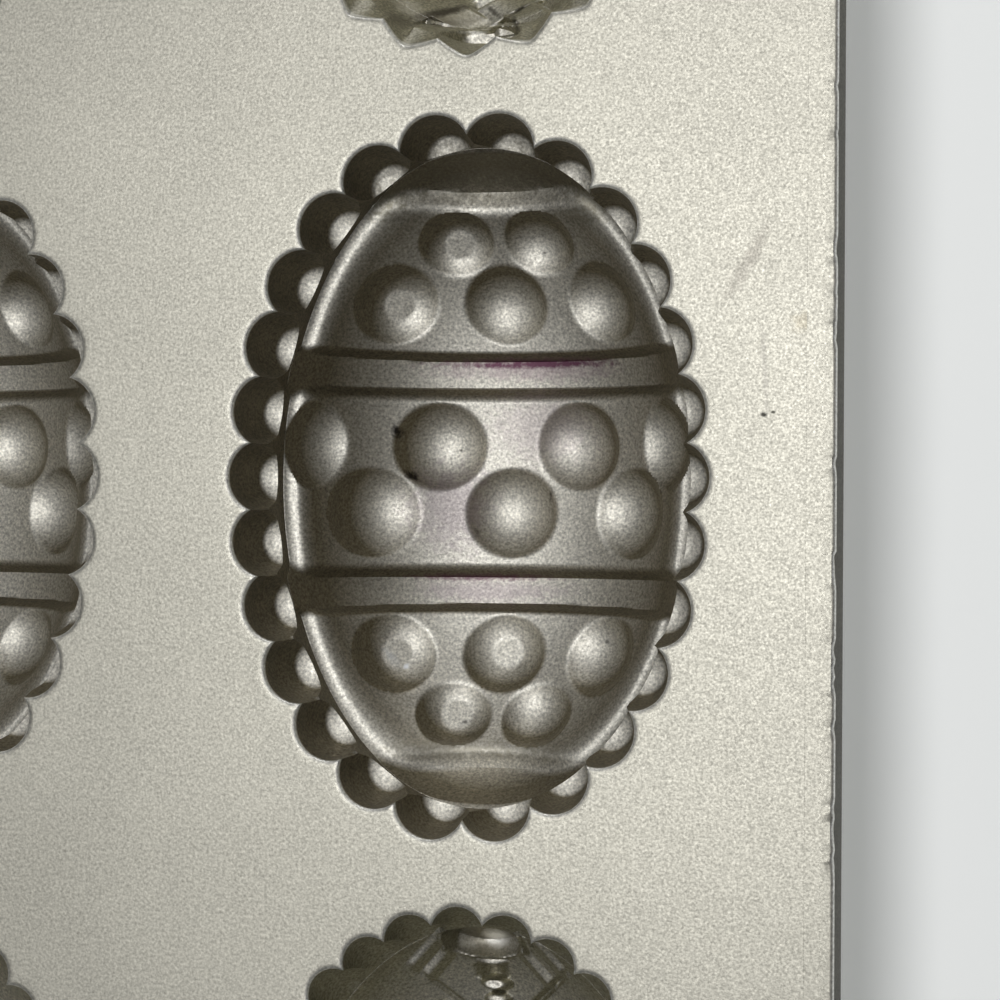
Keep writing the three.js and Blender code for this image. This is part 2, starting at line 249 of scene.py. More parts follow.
@dataclass
class Surface:
    """Points and faces of one piece, gathered part by part."""

    points: list[Points] = field(default_factory=list)
    faces: list[Points] = field(default_factory=list)
    finishes: list[Points] = field(default_factory=list)
    count: int = 0
    finish: int = 0

    @classmethod
    def closed_ring(cls, rows: list[Points]) -> "Surface":
        """A ring of equal rows, which joins up both ways.

        Args:
            rows: The rows, outwards over the top.

        Returns:
            The surface.
        """
        made = cls()
        made.add_quads(made.add_points(np.stack(rows)), wrap_rows=True, wrap_columns=True)
        return made

    def add_points(self, points: Points) -> Points:
        """Add an array of points.

        Args:
            points: The points, in any layout with x, y and z last.

        Returns:
            Their numbers, in the array's own layout.
        """
        flat = points.reshape(-1, 3)
        numbers = np.arange(len(flat)) + self.count
        self.points.append(flat)
        self.count += len(flat)
        return numbers.reshape(points.shape[:-1])

    def add_quads(self, numbers: Points, wrap_rows: bool = False,
                  wrap_columns: bool = False) -> None:
        """Join a grid of point numbers by quads that turn from rows to columns.

        With rows that run outwards and columns that run anticlockwise, the faces look up.

        Args:
            numbers: The numbers, by row and column.
            wrap_rows: Whether the last row joins the first.
            wrap_columns: Whether the last column joins the first.
        """
        grid = np.concatenate([numbers, numbers[:1]], axis=0) if wrap_rows else numbers
        grid = np.concatenate([grid, grid[:, :1]], axis=1) if wrap_columns else grid
        corners = (grid[:-1, :-1], grid[1:, :-1], grid[1:, 1:], grid[:-1, 1:])
        self.add_faces(np.stack(corners, axis=-1).reshape(-1, 4))

    def add_faces(self, faces: Points) -> None:
        """Add faces in the finish that is set.

        Args:
            faces: Their point numbers, with the same number of corners in each face.
        """
        group = np.atleast_2d(faces)
        self.faces.append(group)
        self.finishes.append(np.full(len(group), self.finish))

    def add_strip(self, inner: Points, outer: Points, inner_at: Points, outer_at: Points) -> None:
        """Join two closed rings of different counts by triangles, in the order of their angles.

        The two lists of angles are sorted into one. Each entry takes its ring one point on, and
        makes a triangle of that point and the last points of both rings.

        Args:
            inner: The inner ring's point numbers.
            outer: The outer ring's point numbers.
            inner_at: The angle of each inner point.
            outer_at: The angle of each outer point.
        """
        order = np.argsort(np.concatenate([inner_at, outer_at]), kind="stable")
        from_inner = order < len(inner)
        inner_ring = inner[order[from_inner]]
        outer_ring = outer[order[~from_inner] - len(inner)]
        last_inner = inner_ring[np.cumsum(from_inner) - from_inner - 1]
        last_outer = outer_ring[np.cumsum(~from_inner) - ~from_inner - 1]
        new = np.concatenate([inner, outer])[order]
        self.add_faces(np.stack([last_inner, last_outer, new], axis=-1))

    def mesh(self, name: str, shift: Points) -> bpy.types.Mesh:
        """Write the surface into a Blender mesh.

        Args:
            name: The mesh's name.
            shift: What is added to every point first, in millimetres.

        Returns:
            The mesh, in metres.
        """
        points = (np.concatenate(self.points) + shift) * METRES
        loops = np.concatenate([part.ravel() for part in self.faces])
        sizes = np.concatenate([np.full(len(part), part.shape[1]) for part in self.faces])
        starts = np.concatenate([[0], np.cumsum(sizes)[:-1]])
        finishes = np.concatenate(self.finishes)
        mesh = bpy.data.meshes.new(name)
        mesh.vertices.add(len(points))
        mesh.vertices.foreach_set("co", points.astype(np.float32).ravel())
        mesh.loops.add(len(loops))
        mesh.loops.foreach_set("vertex_index", loops.astype(np.int32))
        mesh.polygons.add(len(sizes))
        mesh.polygons.foreach_set("loop_start", starts.astype(np.int32))
        mesh.polygons.foreach_set("material_index", finishes.astype(np.int32))
        mesh.update(calc_edges=True)
        mesh.validate()
        return mesh


@dataclass(frozen=True)
class Noise:
    """A noise: the size of its grains in millimetres, its finer layers and their strength."""

    size: float
    detail: float
    rough: float


class Nodes:
    """A node tree with a shader in it, and short ways to add nodes in front of the shader."""

    def __init__(self, owner: bpy.types.Material | bpy.types.World, shader: str) -> None:
        """Turn on the owner's nodes, and keep their tree and the shader node of a given name.

        Args:
            owner: The material or the world.
            shader: The name of its shader node.
        """
        owner.use_nodes = True
        self.tree = owner.node_tree
        self.shader = self.tree.nodes[shader]

    def node(self, kind: str, inputs: dict, **settings: object) -> bpy.types.Node:
        """Add a node.

        Args:
            kind: Blender's name of the node type.
            inputs: A value or a socket for each input, by name or number.
            **settings: Properties of the node itself.

        Returns:
            The node.
        """
        made = self.tree.nodes.new(kind)
        for key, value in settings.items():
            setattr(made, key, value)
        for key, value in inputs.items():
            self.feed(made.inputs[key], value)
        return made

    def feed(self, target: Socket, value: object) -> None:
        """Set a socket to a value, or link it to another socket.

        Args:
            target: The socket.
            value: The value, with three parts for a colour, or the other socket.
        """
        if isinstance(value, Socket):
            self.tree.links.new(value, target)
        else:
            target.default_value = (*value, 1.0) if target.type == "RGBA" else value

    def feed_shader(self, inputs: dict) -> None:
        """Feed the shader's sockets, given by name."""
        for key, value in inputs.items():
            self.feed(self.shader.inputs[key], value)

    @cached_property
    def place(self) -> Socket:
        """Object coordinates, in metres."""
        return self.node("ShaderNodeTexCoord", {}).outputs["Object"]

    def height(self, vector: Socket) -> Socket:
        """The third part of a vector."""
        return self.node("ShaderNodeSeparateXYZ", {0: vector}).outputs["Z"]

    def noise(self, noise: Noise) -> Socket:
        """A noise in Object coordinates, about 0 to 1.

        Args:
            noise: Its grains and layers.

        Returns:
            The noise's value.
        """
        inputs = {
            "Vector": self.place, "Scale": 1 / (noise.size * METRES),
            "Detail": noise.detail, "Roughness": noise.rough,
        }
        return self.node("ShaderNodeTexNoise", inputs).outputs["Fac"]

    def maths(self, operation: str, first: object, second: object) -> Socket:
        """The result of a Math node on two values or sockets."""
        return self.node("ShaderNodeMath", {0: first, 1: second}, operation=operation).outputs[0]

    def span(self, value: Socket, low: float, high: float, to_low: float, to_high: float) -> Socket:
        """Map a value from one range to another, clamped at both ends.

        Args:
            value: The value.
            low: Where its range starts.
            high: Where its range ends.
            to_low: What the start becomes.
            to_high: What the end becomes.

        Returns:
            The mapped value.
        """
        inputs = {
            "Value": value, "From Min": low, "From Max": high, "To Min": to_low, "To Max": to_high,
        }
        return self.node("ShaderNodeMapRange", inputs).outputs["Result"]

    def blend(self, amount: Socket, first: object, second: object) -> Socket:
        """Mix two colours by an amount."""
        inputs = {0: amount, 6: first, 7: second}
        return self.node("ShaderNodeMix", inputs, data_type="RGBA").outputs[2]


@dataclass(frozen=True)
class StainOrPaintedLight:
    """A colour mark in the coating, placed against the middle of the photographed well at deck
    level.

    The marks are real stains, and also painted shade and painted highlights that stand in for
    light.
    """

    centre: Triple
    halves: Triple
    colour: Triple
    strength: float
    degrees: float = 0.0

    def amount(self, made: Nodes, middle: Points, eaten: Socket) -> Socket:
        """How strongly the mark shows: a patch that is full at its core and ends in an ellipsoid.

        Args:
            made: The nodes of the material that it lies in.
            middle: The middle of the photographed well on the deck's top, in millimetres.
            eaten: How far the patch's edge is eaten into at each place, as a share.

        Returns:
            The mark's share of the colour.
        """
        inputs = {
            "Vector": made.place,
            "Location": tuple(METRES * value for value in np.array(self.centre) + middle),
            "Rotation": (0.0, 0.0, math.radians(self.degrees)),
            "Scale": tuple(METRES * value for value in self.halves),
        }
        local = made.node("ShaderNodeMapping", inputs, vector_type="TEXTURE").outputs[0]
        away = made.node("ShaderNodeVectorMath", {0: local}, operation="LENGTH").outputs["Value"]
        patch = made.span(made.maths("ADD", away, eaten), MARK_CORE, 1.0, 1.0, 0.0)
        return made.maths("MULTIPLY", patch, self.strength)


@dataclass(frozen=True)
class Coating:
    """The champagne-silver coating: metallic flakes in a warm binder, baked over rough casting.

    On the deck it is pale and coarse. Down in the wells it is finer, and their steep walls are
    darkened by slope as painted shade; a pale band on the lip where the deck meets a well is a
    painted highlight. Grains tilt the surface a little, and clouds change its tone. Bands are
    given as depths below the deck in millimetres, and ranges are values of a noise.
    """

    name: str
    deck_colour: Triple = (0.485, 0.47, 0.41)
    well_colour: Triple = (0.66, 0.64, 0.58)
    # Painted shade: steep walls in the wells take this darker colour, by slope.
    wall_shade_colour: Triple = (0.21, 0.185, 0.13)
    # Painted highlight: a pale band just below the deck's top, where it rolls into a well.
    lip_highlight_colour: Triple = (0.92, 0.91, 0.86)
    fade_band: Pair = (0.9, 0.3)
    # The painted highlight's band, as depths below the deck.
    lip_highlight_band: Pair = (0.26, 0.02)
    metal: float = 1.0
    deck_roughness: float = 0.55
    well_roughness: float = 0.60
    roughness_swing: float = 0.05
    deck_grain: Noise = Noise(0.43, 3.0, 0.6)
    well_grain: Noise = Noise(0.42, 2.0, 0.6)
    flakes: Noise = Noise(0.30, 1.0, 0.5)
    clouds: Noise = Noise(30.0, 4.0, 0.6)
    bites: Noise = Noise(1.1, 3.0, 0.7)
    grain_range: Pair = (0.25, 0.75)
    noise_range: Pair = (0.3, 0.7)
    deck_height: float = 0.020
    well_height: float = 0.026
    deck_swing: float = 0.34
    well_swing: float = 0.46
    cloud_swing: float = 0.05
    # The slopes over which the painted wall shade sets in, as the height of the normal.
    shade_slopes: Pair = (0.55, 0.93)
    raggedness: float = 0.32
    # Real stains, and patches of painted shade and painted highlights.
    stains_and_painted_light: tuple[StainOrPaintedLight, ...] = ()

    def swung(self, made: Nodes, noise: Noise, middle: float, swing: float) -> Socket:
        """A value that swings about a middle with a noise."""
        return made.span(made.noise(noise), *self.noise_range, middle - swing, middle + swing)

    def tint(self, made: Nodes, top: float, deck: Socket, grain: Socket) -> Socket:
        """The coating's colour without its marks.

        Args:
            made: The material's nodes.
            top: The deck's height, in metres.
            deck: 1 on the deck and 0 in the wells.
            grain: The noise of the grains.

        Returns:
            The colour: darker by slope in the wells as painted shade, the deck's above them, and a
                painted highlight on the lip between.
        """
        normal = made.node("ShaderNodeNewGeometry", {}).outputs["Normal"]
        level = made.maths("ABSOLUTE", made.height(normal), 0.0)
        # Painted shade: the steeper the surface, the more of the dark wall colour.
        steep = made.span(level, *self.shade_slopes, 1.0, 0.0)
        # Painted highlight: a pale band on the lip, just below the deck's top.
        lip_highlight_levels = (top - depth * METRES for depth in self.lip_highlight_band)
        lip = made.span(made.height(made.place), *lip_highlight_levels, 1.0, 0.0)
        colour = made.blend(steep, self.well_colour, self.wall_shade_colour)
        colour = made.blend(deck, colour, self.deck_colour)
        colour = made.blend(made.maths("MULTIPLY", lip, deck), colour, self.lip_highlight_colour)
        swing = made.span(deck, 0.0, 1.0, self.well_swing, self.deck_swing)
        pale = made.maths("MULTIPLY", made.span(grain, *self.grain_range, -1.0, 1.0), swing)
        pale = made.maths("ADD", pale, self.swung(made, self.clouds, 1.0, self.cloud_swing))
        inputs = {0: colour, "Scale": pale}
        return made.node("ShaderNodeVectorMath", inputs, operation="SCALE").outputs[0]

    def material(self, middle: Points) -> bpy.types.Material:
        """Build the node tree.

        Args:
            middle: The middle of the photographed well on the deck's top, in millimetres.

        Returns:
            The material.
        """
        material = bpy.data.materials.new(self.name)
        made = Nodes(material, "Principled BSDF")
        top = float(middle[2]) * METRES
        fade_levels = (top - depth * METRES for depth in self.fade_band)
        deck = made.span(made.height(made.place), *fade_levels, 0.0, 1.0)
        grains = {0: deck, 2: made.noise(self.well_grain), 3: made.noise(self.deck_grain)}
        grain = made.node("ShaderNodeMix", grains).outputs[0]
        colour = self.tint(made, top, deck, grain)
        eaten = self.swung(made, self.bites, 0.0, self.raggedness)
        # Real stains, painted shade and painted highlights are blended into the colour here.
        for colour_mark in self.stains_and_painted_light:
            amount = colour_mark.amount(made, middle, eaten)
            colour = made.blend(amount, colour, colour_mark.colour)
        rough = made.span(deck, 0.0, 1.0, self.well_roughness, self.deck_roughness)
        rough = made.maths("ADD", rough, self.swung(made, self.flakes, 0.0, self.roughness_swing))
        rise = made.span(deck, 0.0, 1.0, self.well_height * METRES, self.deck_height * METRES)
        relief = made.maths("MULTIPLY", grain, rise)
        bump = made.node("ShaderNodeBump", {"Height": relief, "Distance": 1.0, "Strength": 1.0})
        finish = {"Base Color": colour, "Roughness": rough, "Metallic": self.metal}
        made.feed_shader(finish | {"Normal": bump.outputs["Normal"]})
        return material


@dataclass(frozen=True)
class Site:
    """Where one well stands, read from its collar in the frame."""

    pattern: Pattern
    side: Side

    def named(self, part: str) -> str:
        """The name of one of the well's parts, between its pattern and its side."""
        return f"{self.pattern.value}_{part}_{self.side.value}"

    @cached_property
    def corners(self) -> tuple[Points, Points]:
        """The lowest and highest corner of the collar, in millimetres."""
        low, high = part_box(self.named("collar"))
        return np.array(low) / METRES, np.array(high) / METRES

    @property
    def centre(self) -> Points:
        """The middle of the well, on the deck's top plane."""
        low, high = self.corners
        return np.array([(low[0] + high[0]) / 2, (low[1] + high[1]) / 2, high[2]])

    @property
    def seam(self) -> Ellipse:
        """The line on the deck where the collar's piece ends."""
        low, high = self.corners
        return Ellipse((high[0] - low[0]) / 2, (high[1] - low[1]) / 2)


def placed(name: str, data: bpy.types.ID) -> bpy.types.Object:
    """Make an object and put it in the scene.

    Args:
        name: The object's name.
        data: Its mesh, lamp or camera.

    Returns:
        The object.
    """
    made = bpy.data.objects.new(name, data)
    bpy.context.scene.collection.objects.link(made)
    return made


class Piece(ABC):
    """One piece of the casting, which takes the place of one node of the frame."""

    name: str
    node: str
    origin: Points = np.zeros(3)

    @abstractmethod
    def surface(self) -> Surface:
        """The piece's points and faces, in millimetres from its origin."""

    def build(self, materials: Materials) -> bpy.types.Object:
        """Make the finished piece.

        Args:
            materials: The finishes, by the surface's numbers.

        Returns:
            The piece.
        """
        mesh = self.surface().mesh(self.name, self.origin)
        mesh.shade_smooth()
        mesh.set_sharp_from_angle(angle=math.radians(SHARP_DEGREES))
        for material in materials:
            mesh.materials.append(material)
        piece = placed(self.name, mesh)
        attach(piece, BODY)
        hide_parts(self.node)
        LOG.info("%s: %d faces", self.name, len(mesh.polygons))
        return piece


@dataclass
class WellPart(Piece):
    """A part of one well, set out from the middle of the well's mouth.

    It has two words: one for its own name, and the frame's word for it.
    """

    site: Site
    words: ClassVar[tuple[str, str]]

    @property
    def name(self) -> str:
        """The part's own name."""
        return self.site.named(self.words[0])

    @property
    def node(self) -> str:
        """The frame's name of the part."""
        return self.site.named(self.words[1])

    @property
    def origin(self) -> Points:
        """The middle of the well, on the deck's top plane."""
        return self.site.centre


@dataclass(frozen=True)
class Crease:
    """A straight bead or groove in plan, with a rounded section that fades out at its ends."""

    start: Pair
    end: Pair
    half_width: float
    rise: float
    fade: float = 6.0
    end_share: float = 0.2

    def height(self, x: Points, y: Points) -> Points:
        """How far it lifts each point: its rise, eased off with the distance from its line.

        Args:
            x: Places across the well.
            y: Places along it.

        Returns:
            The lift, which is negative in a groove.
        """
        start, along = np.array(self.start), np.array(self.end) - np.array(self.start)
        share = ((x - start[0]) * along[0] + (y - start[1]) * along[1]) / (along ** 2).sum()
        share = np.clip(share, 0.0, 1.0)
        away = np.hypot(x - start[0] - share * along[0], y - start[1] - share * along[1])
        ends = smooth_step(self.fade * np.minimum(share, 1 - share) + self.end_share)
        return self.rise * smooth_step(1 - away / self.half_width) * ends


@dataclass(frozen=True)
class Pocket:
    """A hollow or a step with a level floor, which is dished towards its middle."""

    x: float
    y: float
    half_width: float
    half_length: float
    floor: float
    dish: float
    edge: float
    power: float
    straight: float = 0.3

    def cut(self, depth: Points, x: Points, y: Points) -> Points:
        """Bring a surface to the floor inside a squarish outline, over a rounded edge.

        The level is (|dx/a|^p + |dy/b|^p) to the power 1/p, which is 1 at the outline. The floor
        lies at its depth less the dish times the level squared.

        Args:
            depth: The surface's depth.
            x: Places across the well.
            y: Places along it.

        Returns:
            The new depth.
        """
        across = np.abs((x - self.x) / self.half_width) ** self.power
        along = np.abs((y - self.y) / self.half_length) ** self.power
        level = (across + along) ** (1 / self.power)
        floor = self.floor - self.dish * level ** 2
        return depth + (floor - depth) * rolled_ramp((1 - level) / self.edge, self.straight)


@dataclass
class Collar(WellPart):
    """The ring of lobes round a well's mouth, from the deck down to the ledge.

    Its columns run round the well, and its rows run from the foot of the bore up over the lobes
    and the lip to the deck, then down the skirt and back under the foot.
    """

    words: ClassVar[tuple[str, str]] = ("mouth", "collar")
    bore: Ellipse = Ellipse(31.3, 48.4)
    foot_depth: float = 12.75
    lip_width: float = 0.85
    lip_drop: float = 0.4
    lip_steps: int = 8
    skirt_wall: float = 2.4
    deck_thickness: float = 3.2
    lobes: int = 26
    lobe_columns: int = 18
    phase: float = 0.0

    @property
    def shares(self) -> Points:
        """The place of each column as a share of the way round, from the first lobe's start."""
        count = self.lobes * self.lobe_columns
        return (np.arange(count) / self.lobe_columns - 0.5 + self.phase) / self.lobes

    def column_points(self, line: Ellipse) -> Points:
        """The points of an ellipse, one to a column, at even steps along it."""
        return line.points(line.even_turns(self.shares))

    @abstractmethod
    def outline(self, grow: float) -> Points:
        """The mouth's outline, moved outwards by a distance, one point to a column."""

    @abstractmethod
    def wall(self) -> list[Points]:
        """The rings of the lobes' walls and floors, from the bore's edge up to the lip."""

    def ring(self, plan: Points, depth: Points | float) -> Points:
        """Points in plan at a depth below the deck."""
        return at_height(plan, -depth)

    def lip(self) -> list[Points]:
        """A flat quarter ellipse from the wall up to the deck: 1 - cosine across, 1 - sine down.

        Returns:
            Its rings, from the wall upwards.
        """
        rings = []
        for turn in np.linspace(0.0, np.pi / 2, self.lip_steps + 1):
            plan = self.outline(self.lip_width * (1 - math.cos(turn)))
            rings.append(self.ring(plan, self.lip_drop * (1 - math.sin(turn))))
        return rings

    def surface(self) -> Surface:
        """All rows of the collar, which close on themselves.

        Returns:
            The collar's surface.
        """
        wall, lip, seam = self.wall(), self.lip(), self.column_points(self.site.seam)
        foot = self.ring(wall[0][:, :2], self.foot_depth)
        bore = between(foot, wall[0], (0.0, 0.5))
        deck = [self.ring(lip[-1][:, :2] * (1 - share) + seam * share, 0.0) for share in (0.5, 1.0)]
        skirt = [
            self.ring(seam, self.deck_thickness),
            self.ring(self.outline(self.skirt_wall), self.deck_thickness),
            self.ring(self.outline(self.skirt_wall), self.foot_depth - self.lip_width),
            self.ring(self.outline(self.skirt_wall - self.lip_width), self.foot_depth),
        ]
        return Surface.closed_ring(bore + wall + lip + deck + skirt)


@dataclass
class RoundLobes(Collar):
    """Lobes that are parts of equal circles, meeting in cusps."""

    reach: Ellipse = Ellipse(35.75, 52.75)
    lobe_radius: float = 5.3

    @cached_property
    def centres(self) -> Points:
        """The circles' centres, evenly spaced along their ellipse."""
        path = self.reach.grown(-self.lobe_radius)
        return path.points(path.even_turns((np.arange(self.lobes) + self.phase) / self.lobes))

    def outline(self, grow: float) -> Points:
        """The outer line of all circles, each grown by a distance.

        A cusp lies over the middle of two centres, at the height that makes a right triangle of
        half their distance and the radius. Between its two cusps a lobe is swept at an even rate.

        Args:
            grow: What is added to the circles' radius.

        Returns:
            The points in plan, one to a column.
        """
        radius = self.lobe_radius + grow
        step = np.roll(self.centres, -1, axis=0) - self.centres
        half = np.linalg.norm(step, axis=1, keepdims=True) / 2
        out = np.stack([step[:, 1], -step[:, 0]], axis=1) / (2 * half)
        cusps = self.centres + step / 2 + out * np.sqrt(radius ** 2 - half ** 2)
        starts = np.roll(cusps, 1, axis=0) - self.centres
        ends = cusps - self.centres
        start = np.arctan2(starts[:, 1], starts[:, 0])
        sweep = np.mod(np.arctan2(ends[:, 1], ends[:, 0]) - start, 2 * np.pi)
        within = np.arange(self.lobe_columns) / self.lobe_columns
        turns = start[:, None] + sweep[:, None] * within
        return (self.centres[:, None] + circle(turns) * radius).reshape(-1, 2)


@dataclass
class BeadedCollar(RoundLobes):
    """Beads with upright walls at the top, a cone below them and a slightly dished floor.

    The cone's depth grows evenly with the way from its radius in to the floor's, with a round
    where it meets the floor. The floor sinks with the square of the way in to its middle.
    """

    draft: float = 0.3
    cone_start: float = 4.4
    floor_depth: float = 9.9
    floor_share: float = 0.62
    floor_roll: float = 0.55
    floor_dish: float = 0.8
    wall_rows: int = 5
    cone_rows: int = 14
    largest_share: float = 0.9999

    def wall(self) -> list[Points]:
        """Rings along straight lines in plan from the bore's edge to the lobes' outline.

        Each ring has one share of the way. The share sets the distance from the bead's centre
        and the depth, and the line from bore to outline is cut where it has that distance.

        Returns:
            The rings, from the bore's edge up to the foot of the lip.
        """
        top = self.outline(0.0)
        low = self.column_points(self.bore)
        centre = np.repeat(self.centres, self.lobe_columns, axis=0)
        radius = self.lobe_radius - self.draft
        edge_distance = np.linalg.norm(low - centre, axis=1)
        edge_share = np.clip(edge_distance / radius, 0.0, self.largest_share)
        height = self.floor_depth - self.floor_dish - self.cone_start
        along = top - low
        square = (along ** 2).sum(axis=1)
        slant = ((low - centre) * along).sum(axis=1)
        rings = []
        for share in np.linspace(0.0, 1.0, self.cone_rows + 1):
            part = edge_share + (1 - edge_share) * share
            distance = radius * part
            sunk = 1 - np.minimum(part / self.floor_share, 1.0) ** 2
            depth = self.cone_start + self.floor_dish * sunk
            depth += height * rolled_ramp((1 - part) / (1 - self.floor_share), self.floor_roll)
            inner = slant ** 2 - square * (edge_distance ** 2 - distance ** 2)
            cut = np.clip((np.sqrt(np.maximum(inner, 0.0)) - slant) / square, 0.0, 1.0)
            rings.append(self.ring(low + along * cut[:, None], depth))
        shares = np.linspace(0.0, 1.0, self.wall_rows + 1)[1:-1]
        return rings + between(rings[-1], self.ring(top, self.lip_drop), shares)


@dataclass
class ScallopedCollar(RoundLobes):
    """Small scallops that fade down a steep fluted wall into the bore.

    In plan a ring is the outline moved towards the bore by the square of its depth's share. At
    the bore it meets the cup's own depth and slope.
    """

    lobes: int = 36
    lobe_columns: int = 14
    lobe_radius: float = 4.0
    phase: float = 0.09
    wall_rows: int = 14
    bowl: Bowl = RIBBON_BOWL

    def wall(self) -> list[Points]:
        """Rings from the bore's edge up to the lip.

        Returns:
            The rings, from below.
        """
        top = self.outline(0.0)
        low = self.column_points(self.bore)
        fall = self.bowl.depths(low[:, 0], low[:, 1]) - self.lip_drop
        return [
            self.ring(top + (low - top) * share ** 2, self.lip_drop + fall * share)
            for share in np.linspace(1.0, 0.0, self.wall_rows + 1)[:-1]
        ]


@dataclass(frozen=True)
class Weave:
    """Flat strands in two slants, which pass over and under each other on a deep bowl.

    The slants are set out on the unrolled egg, where a place across or along it counts as the
    length of the arc to it. So strands keep their width on the steep ends.
    """

    bowl: Bowl = Bowl(33.3, 51.6, 32.0)
    strand_width: float = 7.4
    pitch: float = 8.2
    offset: float = 2.2
    slant_degrees: float = 38.0
    relief: float = 2.7
    edge_roll: float = 1.0
    edge_straight: float = 0.3
    swing: float = 0.9
    crossing_roll: float = 0.08

    def arc(self, places: Points, half: float) -> Points:
        """The arc's length to each place: the half axis times arcsine of place over half axis."""
        return half * np.arcsin(np.clip(places / half, -1.0, 1.0))

    def strand(self, x: Points, y: Points, side: int) -> Points:
        """How far one set of strands stands up, from 0 between them to 1.

        Args:
            x: Places across the well.
            y: Places along it.
            side: 1 or -1, for the slant.

        Returns:
            The height, waving along the strand so that it passes over and under.
        """
        slant = math.radians(self.slant_degrees)
        arc_x, arc_y = self.arc(x, self.bowl.half_width), self.arc(y, self.bowl.half_length)
        across = arc_x * math.cos(slant) + side * arc_y * math.sin(slant) - self.offset
        along = -arc_x * math.sin(slant) + side * arc_y * math.cos(slant)
        index = np.floor(across / self.pitch + 0.5)
        off = np.abs(across - index * self.pitch)
        flat = rolled_ramp((self.strand_width / 2 - off) / self.edge_roll, self.edge_straight)
        wave = np.cos(np.pi * (along / self.pitch + index)) * side
        return flat * (1 + self.swing * 0.5 * (wave - 1))

    def depths(self, x: Points, y: Points) -> Points:
        """Depth of the strands: the bowl's, less the higher of the two sets."""
        high = smooth_max(self.strand(x, y, 1), self.strand(x, y, -1), self.crossing_roll)
        return self.bowl.depths(x, y) - self.relief * high


@dataclass
class ToothedCollar(Collar):
    """Pointed teeth over a narrow shelf, with their tips on an ellipse.

    The ends of the woven strands rise over the shelf and run up against the teeth. A flat facet
    lies at the feet of the teeth at each end.
    """

    lobes: int = 30
    lobe_columns: int = 32
    tips: Ellipse = Ellipse(37.0, 54.0)
    tooth_height: float = 2.4
    blunting: float = 0.07
    shelf_edge: Ellipse = Ellipse(32.3, 50.6)
    shelf_depth: float = 11.0
    shelf_rows: int = 10
    wall_rows: int = 12
    weave: Weave = Weave()
    facet: Pocket = Pocket(1.2, 50.2, 6.4, 1.8, 9.9, -0.4, 0.55, 2.8)

    def outline(self, grow: float) -> Points:
        """A zigzag inside an ellipse: a triangle wave with blunted tips, along the normals.

        Args:
            grow: How far it is moved outwards.

        Returns:
            The points in plan, one to a column.
        """
        place = np.arange(self.lobes * self.lobe_columns) / self.lobe_columns
        wave = 1 - np.abs(np.mod(place, 1.0) - 0.5) * 2
        blunt = smooth_max(wave, np.full_like(wave, self.blunting), 2 * self.blunting)
        turns = self.tips.even_turns(self.shares)
        out = (grow - self.tooth_height * blunt)[:, None]
        return self.tips.points(turns) + self.tips.outward(turns) * out

    def shelf_ring(self, plan: Points) -> Points:
        """A ring of the shelf: the strands' depth or the shelf's own, cut by the facets.

        Args:
            plan: Its points in plan.

        Returns:
            The ring.
        """
        x, y = plan.T
        depth = np.minimum(self.weave.depths(x, y), self.shelf_depth)
        for end in (-1, 1):
            depth = replace(self.facet, y=self.facet.y * end).cut(depth, x, y)
        return self.ring(plan, depth)

    def wall(self) -> list[Points]:
        """Rings from the bore's edge over the shelf and up the faces of the teeth.

        Returns:
            The rings, from the bore's edge up to the foot of the lip.
        """
        shares = np.linspace(0.0, 1.0, self.shelf_rows + 1)
        bore, edge = self.column_points(self.bore), self.column_points(self.shelf_edge)
        shelf = [self.shelf_ring(plan) for plan in between(bore, edge, shares)]
        lip = self.ring(self.outline(0.0), self.lip_drop)
        shares = np.linspace(0.0, 1.0, self.wall_rows + 1)[:-1]
        return shelf[:-1] + between(shelf[-1], lip, shares)


